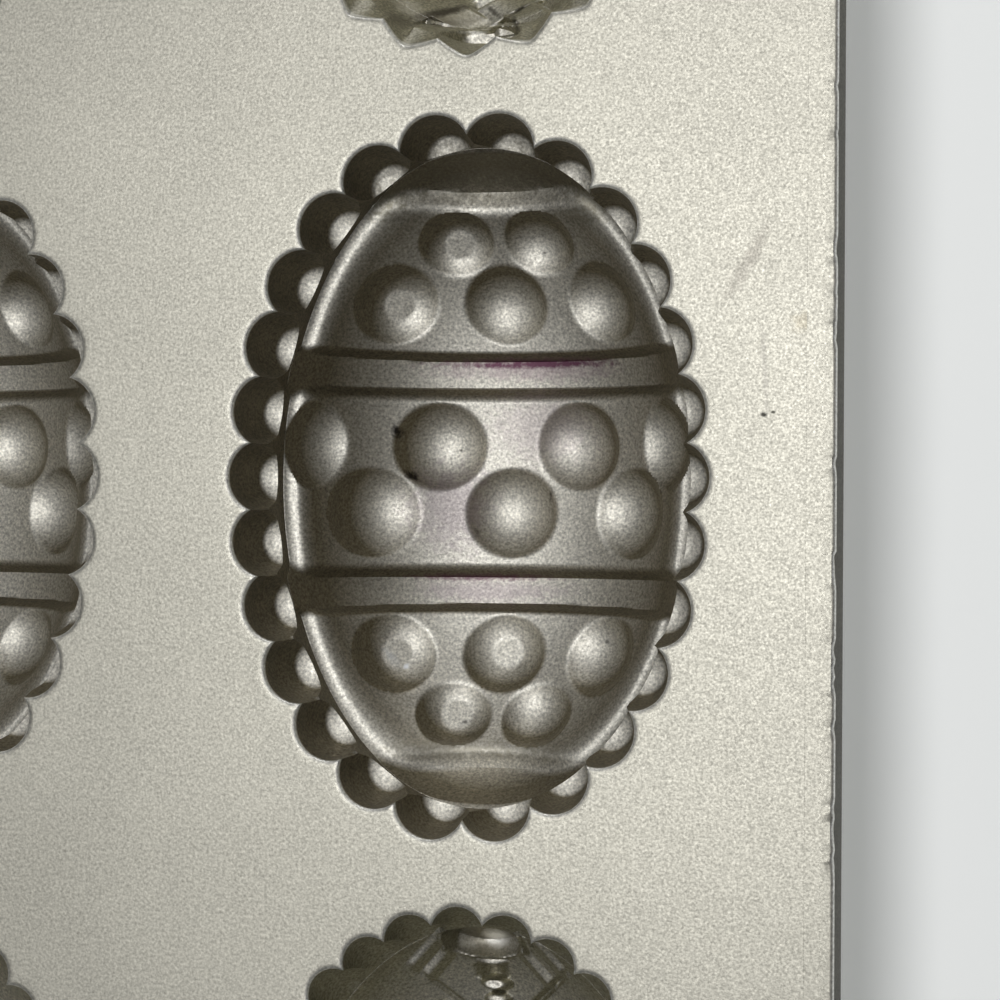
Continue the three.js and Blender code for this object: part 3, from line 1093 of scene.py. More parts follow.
@dataclass
class Cup(WellPart):
    """The egg-shaped cup below a collar: a patterned bowl inside, a plain one outside.

    The inside is a sheet of depths on a grid: rows run along the egg, and columns spread over
    its width at each row. The outside is an ellipsoid with a flat foot.
    """

    words: ClassVar[tuple[str, str]] = ("egg", "cup")
    edge: Ellipse = Ellipse(31.28, 48.38)
    outside: Bowl = Bowl(36.37, 54.1, 35.7)
    top_depth: float = 12.7
    least_depth: float = 10.0
    edge_fall: float = 1.5
    flange: float = 1.6
    foot_depth: float = 35.2
    column_count: int = 210
    outside_rows: int = 14
    spread: float = 0.35
    last_row: float = 0.9996

    @abstractmethod
    def stops(self) -> Rows:
        """Where stretches of rows start along half the egg, and the rows' steps in each."""

    @abstractmethod
    def relief(self, x: Points, y: Points) -> Points:
        """Depth of the patterned inside at each point."""

    def grid(self) -> tuple[Points, Points]:
        """The plan places of the inside's points, as x and y by row and column.

        Returns:
            Places across the well and places along it.
        """
        starts, steps = self.stops()
        half = spaced([*starts, self.edge.half_length * self.last_row], steps)
        rows = np.concatenate([-half[:0:-1], half])
        across = np.linspace(-1.0, 1.0, self.column_count + 1)
        shares = (1 - self.spread) * across + self.spread * np.sin(across * np.pi / 2)
        x = self.edge.half_width_at(rows)[:, None] * shares
        return x, np.broadcast_to(rows[:, None], x.shape)

    def outside_rings(self, turns: Points, levels: Points) -> list[Points]:
        """The ring of the flange and the rings of the outside, down to the foot.

        At an angle below the deck, a ring has the outside's half axes times the cosine, and lies
        at its depth times the sine.

        Args:
            turns: The turn of each column.
            levels: The height of each column at the cup's edge.

        Returns:
            The rings.
        """
        rings = [at_height(self.edge.grown(self.flange).points(turns), levels)]
        start = math.asin(self.top_depth / self.outside.depth)
        end = math.asin(self.foot_depth / self.outside.depth)
        for angle in np.linspace(start, end, self.outside_rows + 1):
            plan = self.outside.scaled(math.cos(angle)).points(turns)
            rings.append(at_height(plan, -self.outside.depth * math.sin(angle)))
        return rings

    def surface(self) -> Surface:
        """The whole cup: inside sheet, flange, outside and foot.

        Returns:
            The cup's surface.
        """
        made = Surface()
        x, y = self.grid()
        fall = np.minimum(self.edge.distance_in(x, y), self.edge_fall)
        depth = np.maximum(self.relief(x, y), self.least_depth + fall)
        sheet = made.add_points(np.stack([x, y, -depth], axis=-1))
        made.add_quads(sheet.T)
        rim = np.concatenate([sheet[0, :-1], sheet[:-1, -1], sheet[-1, :0:-1], sheet[:0:-1, 0]])
        border = np.concatenate(made.points)[rim]
        level = border[:, :2] / self.edge.halves
        rings = self.outside_rings(np.arctan2(level[:, 1], level[:, 0]), border[:, 2])
        numbers = made.add_points(np.stack(rings))
        made.finish = 1
        made.add_quads(np.concatenate([rim[None], numbers]), wrap_columns=True)
        made.add_faces(numbers[-1, ::-1])
        return made


@dataclass(frozen=True)
class Dot:
    """A round dimple pressed square into the panels, placed in plan from the well's centre."""

    x: float
    y: float
    radius: float
    depth: float
    disc: bool = False


DOTS = (
    Dot(-10.97, 5.06, 6.5, 3.0),
    Dot(10.97, 5.06, 6.5, 3.0),
    Dot(26.8, 5.06, 6.5, 3.0),
    Dot(-27.9, 5.06, 6.3, 2.4),
    Dot(0.0, -5.06, 6.6, 3.0),
    Dot(20.2, -5.06, 6.6, 3.0),
    Dot(-20.2, -5.06, 6.6, 2.7),
    Dot(-16.1, -26.36, 5.9, 2.6, disc=True),
    Dot(0.0, -26.36, 5.9, 2.6, disc=True),
    Dot(16.1, -26.36, 5.9, 2.6),
    Dot(-6.4, -35.36, 5.2, 2.3, disc=True),
    Dot(6.4, -35.36, 5.2, 2.3),
    Dot(-16.1, 26.36, 5.9, 2.6, disc=True),
    Dot(0.0, 26.36, 5.9, 2.6),
    Dot(16.1, 26.36, 5.9, 2.6),
    Dot(-6.4, 35.36, 5.2, 2.3, disc=True),
    Dot(6.4, 35.36, 5.2, 2.3),
)


@dataclass
class DottedCup(Cup):
    """Dots on three panels, between two sunk bands and two sunk end caps.

    Bands and caps are the deep bowl. The panels stand up from it by a relief that grows a little
    towards the caps, and along the well's sides they end in a narrow ledge with a cove at its
    back. Ramps that roll off at their tops join the two. Edges of bands and caps are given for
    their -Y and their +Y copy. Growth and lift are given for a place near the caps, and grow as
    the fourth power of the way to it.
    """

    deep: Bowl = Bowl(32.4, 50.2, 32.0, 2.1)
    dots: tuple[Dot, ...] = DOTS
    relief_height: float = 2.95
    relief_growth: float = 0.9
    near_caps: float = 40.0
    band_inner: Pair = (14.95, 14.05)
    band_outer: Pair = (18.95, 18.05)
    inner_roll: float = 2.5
    outer_roll: float = 1.45
    outer_bow: float = 0.7
    cap_start: Pair = (43.0, 42.7)
    cap_bow: float = 0.55
    cap_bow_width: float = 12.0
    cap_roll: float = 4.0
    cap_straight: float = 0.5
    cap_rows_end: float = 46.5
    straight_share: float = 0.35
    ledge_depth: float = 12.75
    ledge_fall: float = 0.12
    ledge_lift: float = 0.9
    ledge_roll: float = 1.9
    cove_width: float = 1.4
    cove_slope: float = 0.6
    dot_edge: float = 0.3
    disc_radius: float = 2.4
    slope_step: float = 0.05

    def stops(self) -> Rows:
        """Rows gathered at the bands' and the caps' edges.

        Returns:
            The stops and the steps.
        """
        inner_top = min(self.band_inner) - self.inner_roll
        outer_top = max(self.band_outer) + self.outer_roll + self.outer_bow
        bands = (0.0, inner_top, max(self.band_inner), min(self.band_outer), outer_top)
        caps = (min(self.cap_start) - self.cap_roll, max(self.cap_start), self.cap_rows_end)
        return bands + caps, (0.36, 0.2, 0.5, 0.2, 0.36, 0.25, 0.4, 0.2)

    def rise(self, x: Points, y: Points) -> Points:
        """How far each point has risen from the deep bowl to the panels, from 0 to 1.

        Args:
            x: Places across the well.
            y: Places along it.

        Returns:
            The share of the rise.
        """
        along = np.abs(y)
        band_inner, band_outer, cap_start = (
            np.where(y < 0, *edges) for edges in (self.band_inner, self.band_outer, self.cap_start)
        )
        bowed = along - self.outer_bow * (x / self.edge.half_width) ** 2
        capped = along - self.cap_bow * (x / self.cap_bow_width) ** 2
        inner = rolled_ramp((band_inner - along) / self.inner_roll, self.straight_share)
        start = rolled_ramp((bowed - band_outer) / self.outer_roll, self.straight_share)
        end = rolled_ramp((cap_start - capped) / self.cap_roll, self.cap_straight)
        return np.where(along < band_inner, inner, np.minimum(start, end))

    def raised(self, x: Points, y: Points) -> Points:
        """Depth of the plain panels: the deep bowl less the relief."""
        relief = self.relief_height + self.relief_growth * (y / self.near_caps) ** 4
        return self.deep.depths(x, y) - relief

    def ledge(self, x: Points, y: Points) -> Points:
        """Depth of the ledge: an even fall, less a parabola that curves up against the wall.

        Args:
            x: Places across the well.
            y: Places along it.

        Returns:
            The depth.
        """
        inside = self.edge.distance_in(x, y)
        near = np.clip(self.cove_width - inside, 0.0, self.cove_width)
        level = self.ledge_depth - self.ledge_lift * (y / self.near_caps) ** 4
        cove = self.cove_slope * near ** 2 / (2 * self.cove_width)
        return level + self.ledge_fall * inside - cove

    def dimple(self, dot: Dot, x: Points, y: Points) -> Points:
        """Depth of a dot's ball, whose centre lies above the panel along its normal.

        The ball's radius is (r squared + d squared) / 2d for a dimple of radius r and depth d.
        The normal comes from the panel's depth a step to each side. A dot with a disc has its
        bottom cut off flat, square to a steeper axis that puts the disc in the dot's middle.

        Args:
            dot: The dot.
            x: Places across the well.
            y: Places along it.

        Returns:
            The depth, or zero outside the ball.
        """
        ball = (dot.radius ** 2 + dot.depth ** 2) / (2 * dot.depth)
        step = self.slope_step
        sides = np.array([[step, 0.0], [-step, 0.0], [0.0, step], [0.0, -step]]) + [dot.x, dot.y]
        depths = self.raised(sides[:, 0], sides[:, 1])
        normal = np.array([depths[1] - depths[0], depths[3] - depths[2], 2 * step])
        normal /= np.linalg.norm(normal)
        foot = np.array([dot.x, dot.y, depths.mean()]) + normal * dot.depth
        centre = foot - normal * ball
        away = (x - centre[0]) ** 2 + (y - centre[1]) ** 2
        below = centre[2] + np.sqrt(np.maximum(ball ** 2 - away, 0.0))
        depth = np.where(away < ball ** 2, below, 0.0)
        if dot.disc:
            axis = normal * [1 - dot.depth / ball, 1 - dot.depth / ball, 1.0]
            axis /= np.linalg.norm(axis)
            level = centre + axis * math.sqrt(ball ** 2 - self.disc_radius ** 2)
            flat = level[2] - (axis[0] * (x - level[0]) + axis[1] * (y - level[1])) / axis[2]
            depth = np.minimum(depth, flat)
        return depth

    def relief(self, x: Points, y: Points) -> Points:
        """Depth of bands, caps, panels, ledges and dots together.

        Args:
            x: Places across the well.
            y: Places along it.

        Returns:
            The depth.
        """
        deep = self.deep.depths(x, y)
        panel = smooth_max(self.raised(x, y), self.ledge(x, y), self.ledge_roll)
        for dot in self.dots:
            panel = smooth_max(panel, self.dimple(dot, x, y), self.dot_edge)
        return deep + (panel - deep) * self.rise(x, y)


@dataclass
class LatticeCup(Cup):
    """A cup lined with woven strands."""

    least_depth: float = 7.0
    weave: Weave = Weave()

    def stops(self) -> Rows:
        """Rows set closer towards the ends, so that the cup's edge follows the strands."""
        return (0.0, 40.0, 45.0, 47.6), (0.45, 0.3, 0.13, 0.05)

    def relief(self, x: Points, y: Points) -> Points:
        """Depth of the woven strands."""
        return self.weave.depths(x, y)


CREASES = (
    Crease((-5.0, 48.0), (-11.8, 41.2), 1.2, 0.9),
    Crease((-5.4, 44.6), (-10.2, 39.4), 1.3, 1.0),
    Crease((5.0, 45.0), (9.6, 38.6), 1.3, 1.1),
    Crease((8.2, 46.6), (12.4, 40.6), 1.3, 1.0),
    Crease((-5.7, 48.0), (-6.2, 44.2), 0.9, 1.2),
    Crease((5.5, 47.9), (6.0, 44.2), 0.9, 1.2),
    Crease((-0.4, 42.2), (-0.2, 39.8), 3.1, -2.4),
    Crease((0.3, 38.3), (0.3, 37.3), 1.2, -1.6),
    Crease((-11.0, 41.0), (-1.0, 31.0), 0.7, -0.7),
    Crease((13.0, 42.4), (2.0, 32.4), 0.9, -1.3),
    Crease((-8.0, 36.0), (-24.0, 16.0), 0.9, -0.9),
    Crease((8.0, 34.0), (24.0, 14.0), 0.9, -0.9),
    *(Crease((x, 32.0), (x, -44.0), 0.8, -0.9) for x in (-4.0, 4.0)),
    *(Crease((30.0 * way, y), (5.0 * way, y), 0.8, -0.9) for way in (-1, 1) for y in (4.0, -4.0)),
)

POCKETS = (
    Pocket(-0.1, 45.9, 5.8, 3.0, 18.2, 2.6, 0.20, 2.4),
    Pocket(0.3, 42.6, 2.6, 0.8, 16.8, 0.4, 0.9, 2.0),
    Pocket(0.3, 39.0, 2.6, 1.2, 18.4, 0.5, 0.6, 2.0),
    Pocket(0.1, 36.4, 2.2, 1.2, 20.6, 0.6, 0.8, 2.0),
)


@dataclass
class RibbonCup(Cup):
    """A smooth cup with a tied bow near its +Y end and flat ribbons edged by beads.

    Two ribbons leave the bow on slants, one more runs down the middle, and two cross below. The
    creases are the beads, the folds of the bow's tails and the grooves where ribbons meet. The
    pockets are the bow's knot, the lip below it and the crests of its tails.
    """

    deep: Bowl = RIBBON_BOWL
    creases: tuple[Crease, ...] = CREASES
    pockets: tuple[Pocket, ...] = POCKETS
    least_wall: float = 0.8

    def stops(self) -> Rows:
        """Rows gathered where the bow lies."""
        return (0.0, 33.0), (0.6, 0.2)

    def relief(self, x: Points, y: Points) -> Points:
        """Depth of the bowl with its ribbons and its bow, kept off the outside's surface.

        Args:
            x: Places across the well.
            y: Places along it.

        Returns:
            The depth.
        """
        depth = self.deep.depths(x, y)
        for crease in self.creases:
            depth = depth - crease.height(x, y)
        for pocket in self.pockets:
            depth = pocket.cut(depth, x, y)
        return np.minimum(depth, self.outside.depths(x, y) - self.least_wall)


@dataclass
class Outline:
    """The pan's outline in plan: a rectangle with round corners, and lines inside it."""

    half_width: float
    half_length: float
    corner: float = 14.0
    corner_steps: int = 16

    @property
    def halves(self) -> Points:
        """The two half sizes as an array."""
        return np.array([self.half_width, self.half_length])

    def ring(self, inset: float, step: float) -> tuple[Points, Points]:
        """A line at an inset from the outline, with its outward directions.

        A quarter of it runs up the +X side, round the corner and along the +Y side. The other
        three are the quarter's mirror images.

        Args:
            inset: How far inside the outline the line runs.
            step: The distance between points on the straight sides.

        Returns:
            The points and the unit directions, anticlockwise from the middle of the +X side.
        """
        corner = circle(np.linspace(0.0, np.pi / 2, self.corner_steps + 1))
        middle = self.halves - self.corner
        rise = np.linspace(0.0, middle[1], max(2, round(middle[1] / step)) + 1)[:-1]
        run = np.linspace(middle[0], 0.0, max(2, round(middle[0] / step)) + 1)[1:]
        quarter = np.concatenate([
            np.stack([np.full_like(rise, middle[0]), rise], axis=-1),
            np.broadcast_to(middle, corner.shape),
            np.stack([run, np.full_like(run, middle[1])], axis=-1),
        ])
        facing = np.concatenate([
            np.broadcast_to(corner[0], (len(rise), 2)),
            corner,
            np.broadcast_to(corner[-1], (len(run), 2)),
        ])
        mirrors = ((1, 1, 1), (-1, 1, -1), (-1, -1, 1), (1, -1, -1))
        centres, directions = (
            np.concatenate([(line * [x, y])[::order][:-1] for x, y, order in mirrors])
            for line in (quarter, facing)
        )
        return centres + directions * (self.corner - inset), directions


@dataclass
class Deck(Piece):
    """The flat plate between the wells, cut into one cell round each well."""

    name = "deck"
    node = "deck_plate"
    outline: Outline
    collars: list[Collar]
    top: float
    thickness: float = Collar.deck_thickness
    rim_width: float = 4.2
    overlap: float = 0.02
    edge_step: float = 3.0

    def cell(self, centre: Points) -> tuple[Points, Points]:
        """The low and high corner of the cell round a well, halfway to its neighbours.

        Args:
            centre: The well's centre.

        Returns:
            The two corners.
        """
        reach = self.outline.halves - self.rim_width + self.overlap
        ys = np.array(sorted({round(float(collar.origin[1]), 3) for collar in self.collars}))
        halfway = (ys[1:] + ys[:-1]) / 2
        low_y = max([-reach[1], *halfway[halfway < centre[1]]])
        high_y = min([reach[1], *halfway[halfway > centre[1]]])
        low_x, high_x = (0.0, reach[0]) if centre[0] > 0 else (-reach[0], 0.0)
        return np.array([low_x, low_y]), np.array([high_x, high_y])

    def border(self, low: Points, high: Points) -> Points:
        """A cell's border, anticlockwise from its low corner, with the pan's corners rounded.

        A point past the middle of the pan's corner both ways is drawn in to the corner's circle.

        Args:
            low: The cell's low corner.
            high: Its high corner.

        Returns:
            The border's points.
        """
        size = high - low
        across, along = (
            np.linspace(0.0, 1.0, round(side / self.edge_step) + 1)[:-1] for side in size
        )
        level = np.stack([across, 0 * across], axis=-1) * size
        upright = np.stack([1 + 0 * along, along], axis=-1) * size
        square = np.concatenate([low + level, low + upright, high - level, high - upright])
        radius = self.outline.corner - self.rim_width + self.overlap
        middle = self.outline.halves - self.outline.corner
        past = np.abs(square) - middle
        distance = np.maximum(np.linalg.norm(past, axis=1, keepdims=True), TINY)
        rounded = np.sign(square) * (middle + past / distance * radius)
        in_corner = (past > 0).all(axis=1, keepdims=True)
        return np.where(in_corner, rounded, square)

    def add_cell(self, surface: Surface, collar: Collar) -> None:
        """Add one cell: its top, its underside, the wall of its hole and its share of the edge.

        Args:
            surface: What the cell is added to.
            collar: The collar in the cell.
        """
        centre = collar.origin
        seam = collar.column_points(collar.site.seam) + centre[:2]
        border = self.border(*self.cell(centre))
        levels = (self.top, self.top - self.thickness)
        holes, edges = (
            [surface.add_points(at_height(line, level)) for level in levels]
            for line in (seam, border)
        )
        seam_at, border_at = (
            np.mod(np.arctan2(*(line - centre[:2]).T[::-1]), 2 * np.pi) for line in (seam, border)
        )
        surface.add_strip(holes[0], edges[0], seam_at, border_at)
        surface.add_strip(holes[1], edges[1], seam_at, border_at)
        surface.faces[-1] = surface.faces[-1][:, ::-1]
        surface.add_quads(np.stack(holes[::-1]), wrap_columns=True)
        reach = self.outline.halves - self.rim_width
        outer = (np.abs(border) > reach - self.outline.corner).all(axis=1)
        outer |= (np.abs(border) > reach).any(axis=1)
        following = np.roll(np.arange(len(border)), -1)
        kept = np.flatnonzero(outer & outer[following])
        top, under = edges
        corners = (top[kept], under[kept], under[following[kept]], top[following[kept]])
        surface.add_faces(np.stack(corners, axis=-1))

    def surface(self) -> Surface:
        """All cells together.

        Returns:
            The deck's surface.
        """
        made = Surface()
        for collar in self.collars:
            self.add_cell(made, collar)
        return made


@dataclass
class Rim(Piece):
    """The turned-down edge, a closed profile carried round the pan's outline.

    Its outer edge is a quarter round, eaten into here and there by small nicks. A nick is the
    upper part of a noise at several scales, each given by its length in points and its weight.
    """

    name = "rim"
    node = "rim_lip"
    outline: Outline
    top: float
    depth: float
    width: float = Deck.rim_width
    shoulder: float = 2.2
    edge_radius: float = 0.6
    edge_steps: int = 5
    step: float = 0.6
    nick_depth: float = 0.3
    nick_fall: float = 0.6
    nick_scales: tuple[tuple[int, float], ...] = ((2, 0.5), (6, 0.8), (18, 0.5))
    nick_start: float = 0.2
    nick_range: float = 1.6
    seed: int = 11

    def nicks(self, count: int) -> Points:
        """How far the edge is eaten at each point, by noise that is smoothed round the ring.

        Args:
            count: The number of points.

        Returns:
            The distances.
        """
        random = np.random.default_rng(self.seed)
        total = np.zeros(count)
        for length, weight in self.nick_scales:
            kernel = np.hanning(2 * length + 1)
            kernel /= np.linalg.norm(kernel)
            noise = random.standard_normal(count)
            total += weight * np.fft.irfft(np.fft.rfft(noise) * np.fft.rfft(kernel, count), count)
        return self.nick_depth * np.clip((total - self.nick_start) / self.nick_range, 0.0, 1.0)

    def profile(self) -> list[Triple]:
        """The profile's points: inset, depth and whether nicks reach them (1 or 0).

        Returns:
            The points, from the deck round the outside.
        """
        turns = np.linspace(0.0, np.pi / 2, self.edge_steps + 1)
        across = self.edge_radius * (1 - np.sin(turns))
        down = self.edge_radius * (1 - np.cos(turns))
        nicked = [0.0] + [1.0] * self.edge_steps
        return [
            (self.width, 0.0, 0.0),
            (self.shoulder, 0.0, 0.0),
            *zip(across, down, nicked),
            (0.0, self.depth - self.edge_radius, 0.0),
            (self.edge_radius, self.depth, 0.0),
            (self.width, self.depth, 0.0),
        ]

    def surface(self) -> Surface:
        """The rows of the profile, which close on themselves.

        Returns:
            The rim's surface.
        """
        eaten = self.nicks(len(self.outline.ring(0.0, self.step)[0]))
        rows = []
        for inset, level, nicked in self.profile():
            plan, outward = self.outline.ring(inset, self.step)
            bitten = eaten * nicked
            height = self.top - level - self.nick_fall * bitten
            rows.append(at_height(plan - outward * bitten[:, None], height))
        return Surface.closed_ring(rows)


@dataclass
class EndGrip(Piece):
    """A loop handle at one end: a rounded bar carried along a U from the rim out and back."""

    node: str
    end: int
    rim_y: float
    top: float
    half_length: float = 56.0
    reach: float = 24.0
    bar: float = 9.5
    thickness: float = 6.8
    power: float = 3.2
    sink: float = 1.5
    bend_steps: int = 20
    round_steps: int = 40

    @property
    def name(self) -> str:
        """The grip's own name, by its end."""
        return f"grip_{'far' if self.end > 0 else 'near'}"

    def path(self) -> tuple[Points, Points]:
        """The bar's middle line and the directions square to it, away from the slot.

        Returns:
            The points and the unit directions, from the +X end round.
        """
        radius = self.reach - self.bar / 2
        middle = self.half_length - self.reach
        right = circle(np.linspace(0.0, np.pi / 2, self.bend_steps + 1))
        left = right[::-1] * [-1, 1]
        start = np.array([[middle + radius, -self.sink]])
        bends = [right * radius + [middle, 0], left * radius - [middle, 0]]
        points = np.concatenate([start, *bends, start * [-1, 1]])
        return points, np.concatenate([right[:1], right, left, left[-1:]])

    def surface(self) -> Surface:
        """The bar and its two ends; the section is a superellipse.

        Returns:
            The grip's surface.
        """
        points, ways = self.path()
        section = circle(np.linspace(0.0, 2 * np.pi, self.round_steps + 1)[:-1])
        section = np.sign(section) * np.abs(section) ** (2 / self.power)
        across, upward = (np.array([self.bar, self.thickness]) / 2 * section).T
        plan = points[:, None] + ways[:, None] * across[None, :, None]
        plan = (plan + [0.0, self.rim_y]) * self.end
        made = Surface()
        numbers = made.add_points(at_height(plan, self.top - self.thickness / 2 + upward))
        made.add_quads(numbers[::-1], wrap_columns=True)
        made.add_faces(numbers[0, ::-1])
        made.add_faces(numbers[-1])
        return made


@dataclass(frozen=True)
class Lamp:
    """A round soft lamp: its place from the photographed well, its width in metres, its watts."""

    name: str
    place: Triple
    size: float
    power: float

    def hang(self, target: Vector) -> None:
        """Hang the lamp so that it faces a point.

        Args:
            target: The middle of the photographed well, in metres.
        """
        data = bpy.data.lights.new(self.name, "AREA")
        data.shape = "DISK"
        data.size = self.size
        data.energy = self.power
        lamp = placed(self.name, data)
        lamp.location = target + Vector(self.place) * METRES
        lamp.rotation_mode = "QUATERNION"
        lamp.rotation_quaternion = (target - lamp.location).to_track_quat("-Z", "Y")


@dataclass
class Studio:
    """The table, the soft lamps, the pale surroundings and the camera.

    Camera and lamps are given against the middle of the photographed well at deck level, in
    millimetres. The camera's range and the table's half size are in metres.
    """

    middle: Points
    camera_place: Triple = (112.93, -6.54, 415.97)
    camera_forward: Triple = (-0.25010, 0.00758, -0.96819)
    camera_up: Triple = (0.00157, 0.99997, 0.00743)
    camera_roll: float = 0.35
    camera_range: Pair = (0.01, 20.0)
    lens: float = 108.2
    sensor: float = 36.0
    lamps: tuple[Lamp, ...] = (
        Lamp("main_lamp", (-60.0, 45.0, 800.0), 0.3, 3.7),
        Lamp("fill_lamp", (60.0, 900.0, 300.0), 0.35, 2.0),
    )
    world_colour: Triple = (0.95, 0.97, 1.0)
    world_strength: float = 0.03
    horizon_strength: float = 0.9
    horizon_band: Pair = (0.02, 0.12)
    table_size: float = 3.0
    table_colour: Triple = (0.75, 0.76, 0.76)
    table_roughness: float = 0.7
    glow_colour: Triple = (0.97, 1.0, 0.99)
    table_glow: float = 0.27

    def camera(self) -> None:
        """Stand the camera where the photograph was taken from."""
        data = bpy.data.cameras.new("camera")
        data.lens = self.lens
        data.sensor_width = self.sensor
        data.clip_start, data.clip_end = self.camera_range
        camera = placed("camera", data)
        back = -Vector(self.camera_forward).normalized()
        right = Vector(self.camera_up).cross(back).normalized()
        up = back.cross(right)
        turned = Matrix.Rotation(math.radians(self.camera_roll), 3, back)
        axes = Matrix((turned @ right, turned @ up, back)).transposed()
        camera.matrix_world = axes.to_4x4()
        camera.location = (Vector(self.middle) + Vector(self.camera_place)) * METRES
        bpy.context.scene.camera = camera

    def table(self) -> None:
        """Lay a pale table under the pan, which looks lit from all round."""
        size = self.table_size
        corners = [(size * x, size * y, 0.0) for x, y in ((-1, -1), (1, -1), (1, 1), (-1, 1))]
        mesh = bpy.data.meshes.new("table")
        mesh.from_pydata(corners, [], [(0, 1, 2, 3)])
        material = bpy.data.materials.new("table")
        made = Nodes(material, "Principled BSDF")
        rays = made.node("ShaderNodeLightPath", {}).outputs
        seen = made.maths("ADD", rays["Is Camera Ray"], rays["Is Glossy Ray"])
        seen = made.maths("ADD", seen, rays["Is Transmission Ray"])
        made.feed_shader({
            "Base Color": self.table_colour,
            "Roughness": self.table_roughness,
            "Emission Color": self.glow_colour,
            "Emission Strength": made.maths("MULTIPLY", seen, self.table_glow),
        })
        mesh.materials.append(material)
        placed("table", mesh)

    def surroundings(self) -> None:
        """Give the world a soft grey from above and near white at the horizon.

        Its strength falls with the height of the ray's direction.
        """
        world = bpy.data.worlds.new("surroundings")
        made = Nodes(world, "Background")
        height = made.height(made.node("ShaderNodeTexCoord", {}).outputs["Generated"])
        strengths = (self.horizon_strength, self.world_strength)
        strength = made.span(height, *self.horizon_band, *strengths)
        made.feed_shader({"Strength": strength, "Color": self.world_colour})
        bpy.context.scene.world = world

    def build(self) -> None:
        """Set up everything round the pan."""
        self.camera()
        self.table()
        for lamp in self.lamps:
            lamp.hang(Vector(self.middle) * METRES)
        self.surroundings()
        bpy.context.scene.view_settings.view_transform = "Standard"


# Colour marks of the photographed well. Those noted below are painted shade or painted highlights;
# the others are stains, dye and residue in the coating.
STAINS_AND_PAINTED_LIGHT = (
    # Painted shade: dark patches over the dotted well's two end caps and the upper cap's corners.
    StainOrPaintedLight((0.0, 46.8, -17.0), (32.0, 6.8, 11.0), (0.16, 0.145, 0.105), 0.68),
    StainOrPaintedLight((-16.4, 41.6, -14.0), (6.0, 4.6, 6.0), (0.20, 0.185, 0.135), 0.82),
    StainOrPaintedLight((-2.0, -40.2, -14.5), (18.0, 2.2, 5.0), (0.34, 0.315, 0.25), 0.70),
    StainOrPaintedLight((15.8, 40.2, -13.5), (5.0, 3.6, 5.0), (0.26, 0.24, 0.18), 0.75),
    StainOrPaintedLight((3.0, 16.9, -28.6), (20.0, 2.2, 6.0), (0.40, 0.29, 0.34), 0.45),
    StainOrPaintedLight((3.6, 17.7, -28.6), (18.5, 0.85, 6.0), (0.15, 0.045, 0.095), 0.90),
    StainOrPaintedLight((-5.0, -17.0, -29.6), (17.0, 2.2, 4.0), (0.40, 0.31, 0.37), 0.40),
    StainOrPaintedLight((-5.0, -14.9, -29.0), (15.0, 0.7, 5.0), (0.15, 0.06, 0.10), 0.75),
    StainOrPaintedLight((-9.0, -4.0, -27.5), (9.0, 9.0, 6.0), (0.33, 0.27, 0.31), 0.50),
    StainOrPaintedLight((4.5, 8.0, -29.0), (10.0, 7.0, 5.0), (0.48, 0.40, 0.44), 0.35),
    StainOrPaintedLight((-17.2, 7.3, -25.0), (0.9, 1.5, 3.0), (0.02, 0.016, 0.014), 0.92, 20.0),
    StainOrPaintedLight((-15.3, 0.6, -26.0), (1.5, 0.7, 3.0), (0.02, 0.016, 0.014), 0.92, -35.0),
    StainOrPaintedLight((5.9, -2.6, -27.5), (0.5, 1.8, 3.0), (0.05, 0.04, 0.04), 0.80, -12.0),
    StainOrPaintedLight((-5.6, -7.8, -27.5), (0.9, 0.5, 3.0), (0.04, 0.03, 0.03), 0.85, -40.0),
    StainOrPaintedLight((41.0, 30.1, 0.0), (1.5, 7.5, 1.0), (0.26, 0.24, 0.21), 0.50, -29.6),
    # Painted shadow: a faint dark line across the deck.
    StainOrPaintedLight((43.6, 15.0, 0.0), (0.6, 8.0, 1.0), (0.35, 0.335, 0.30), 0.50, 3.0),
    StainOrPaintedLight((43.5, 8.8, 0.0), (0.7, 0.45, 0.8), (0.03, 0.03, 0.026), 0.95),
    StainOrPaintedLight((44.8, 9.2, 0.0), (0.4, 0.25, 0.8), (0.05, 0.05, 0.04), 0.90),
    StainOrPaintedLight((49.9, 21.7, 0.0), (3.4, 1.8, 1.0), (0.40, 0.36, 0.27), 0.50),
    StainOrPaintedLight((51.5, -12.8, 0.0), (1.2, 2.4, 1.0), (0.52, 0.42, 0.38), 0.60),
    StainOrPaintedLight((10.5, 5.2, -30.0), (0.5, 0.3, 1.6), (0.05, 0.045, 0.04), 0.80),
    StainOrPaintedLight((-8.7, 4.6, -30.6), (0.5, 0.3, 1.6), (0.05, 0.045, 0.04), 0.80),
    StainOrPaintedLight((6.4, 34.0, -22.6), (0.45, 0.3, 1.6), (0.06, 0.055, 0.05), 0.80),
    StainOrPaintedLight((16.1, -24.2, -23.4), (0.5, 0.4, 1.6), (0.06, 0.055, 0.05), 0.70),
    StainOrPaintedLight((-5.2, -36.5, -21.4), (0.5, 0.35, 1.6), (0.06, 0.055, 0.05), 0.80),
    # Painted highlights: a near-white glint and a pale sheen streak on a disc dot.
    StainOrPaintedLight((-14.9, -28.5, -22.2), (0.6, 0.5, 1.8), (0.95, 0.97, 1.0), 0.80, 30.0),
    StainOrPaintedLight((-17.0, -27.0, -21.5), (2.4, 0.8, 2.0), (0.62, 0.64, 0.66), 0.45, -48.0),
)
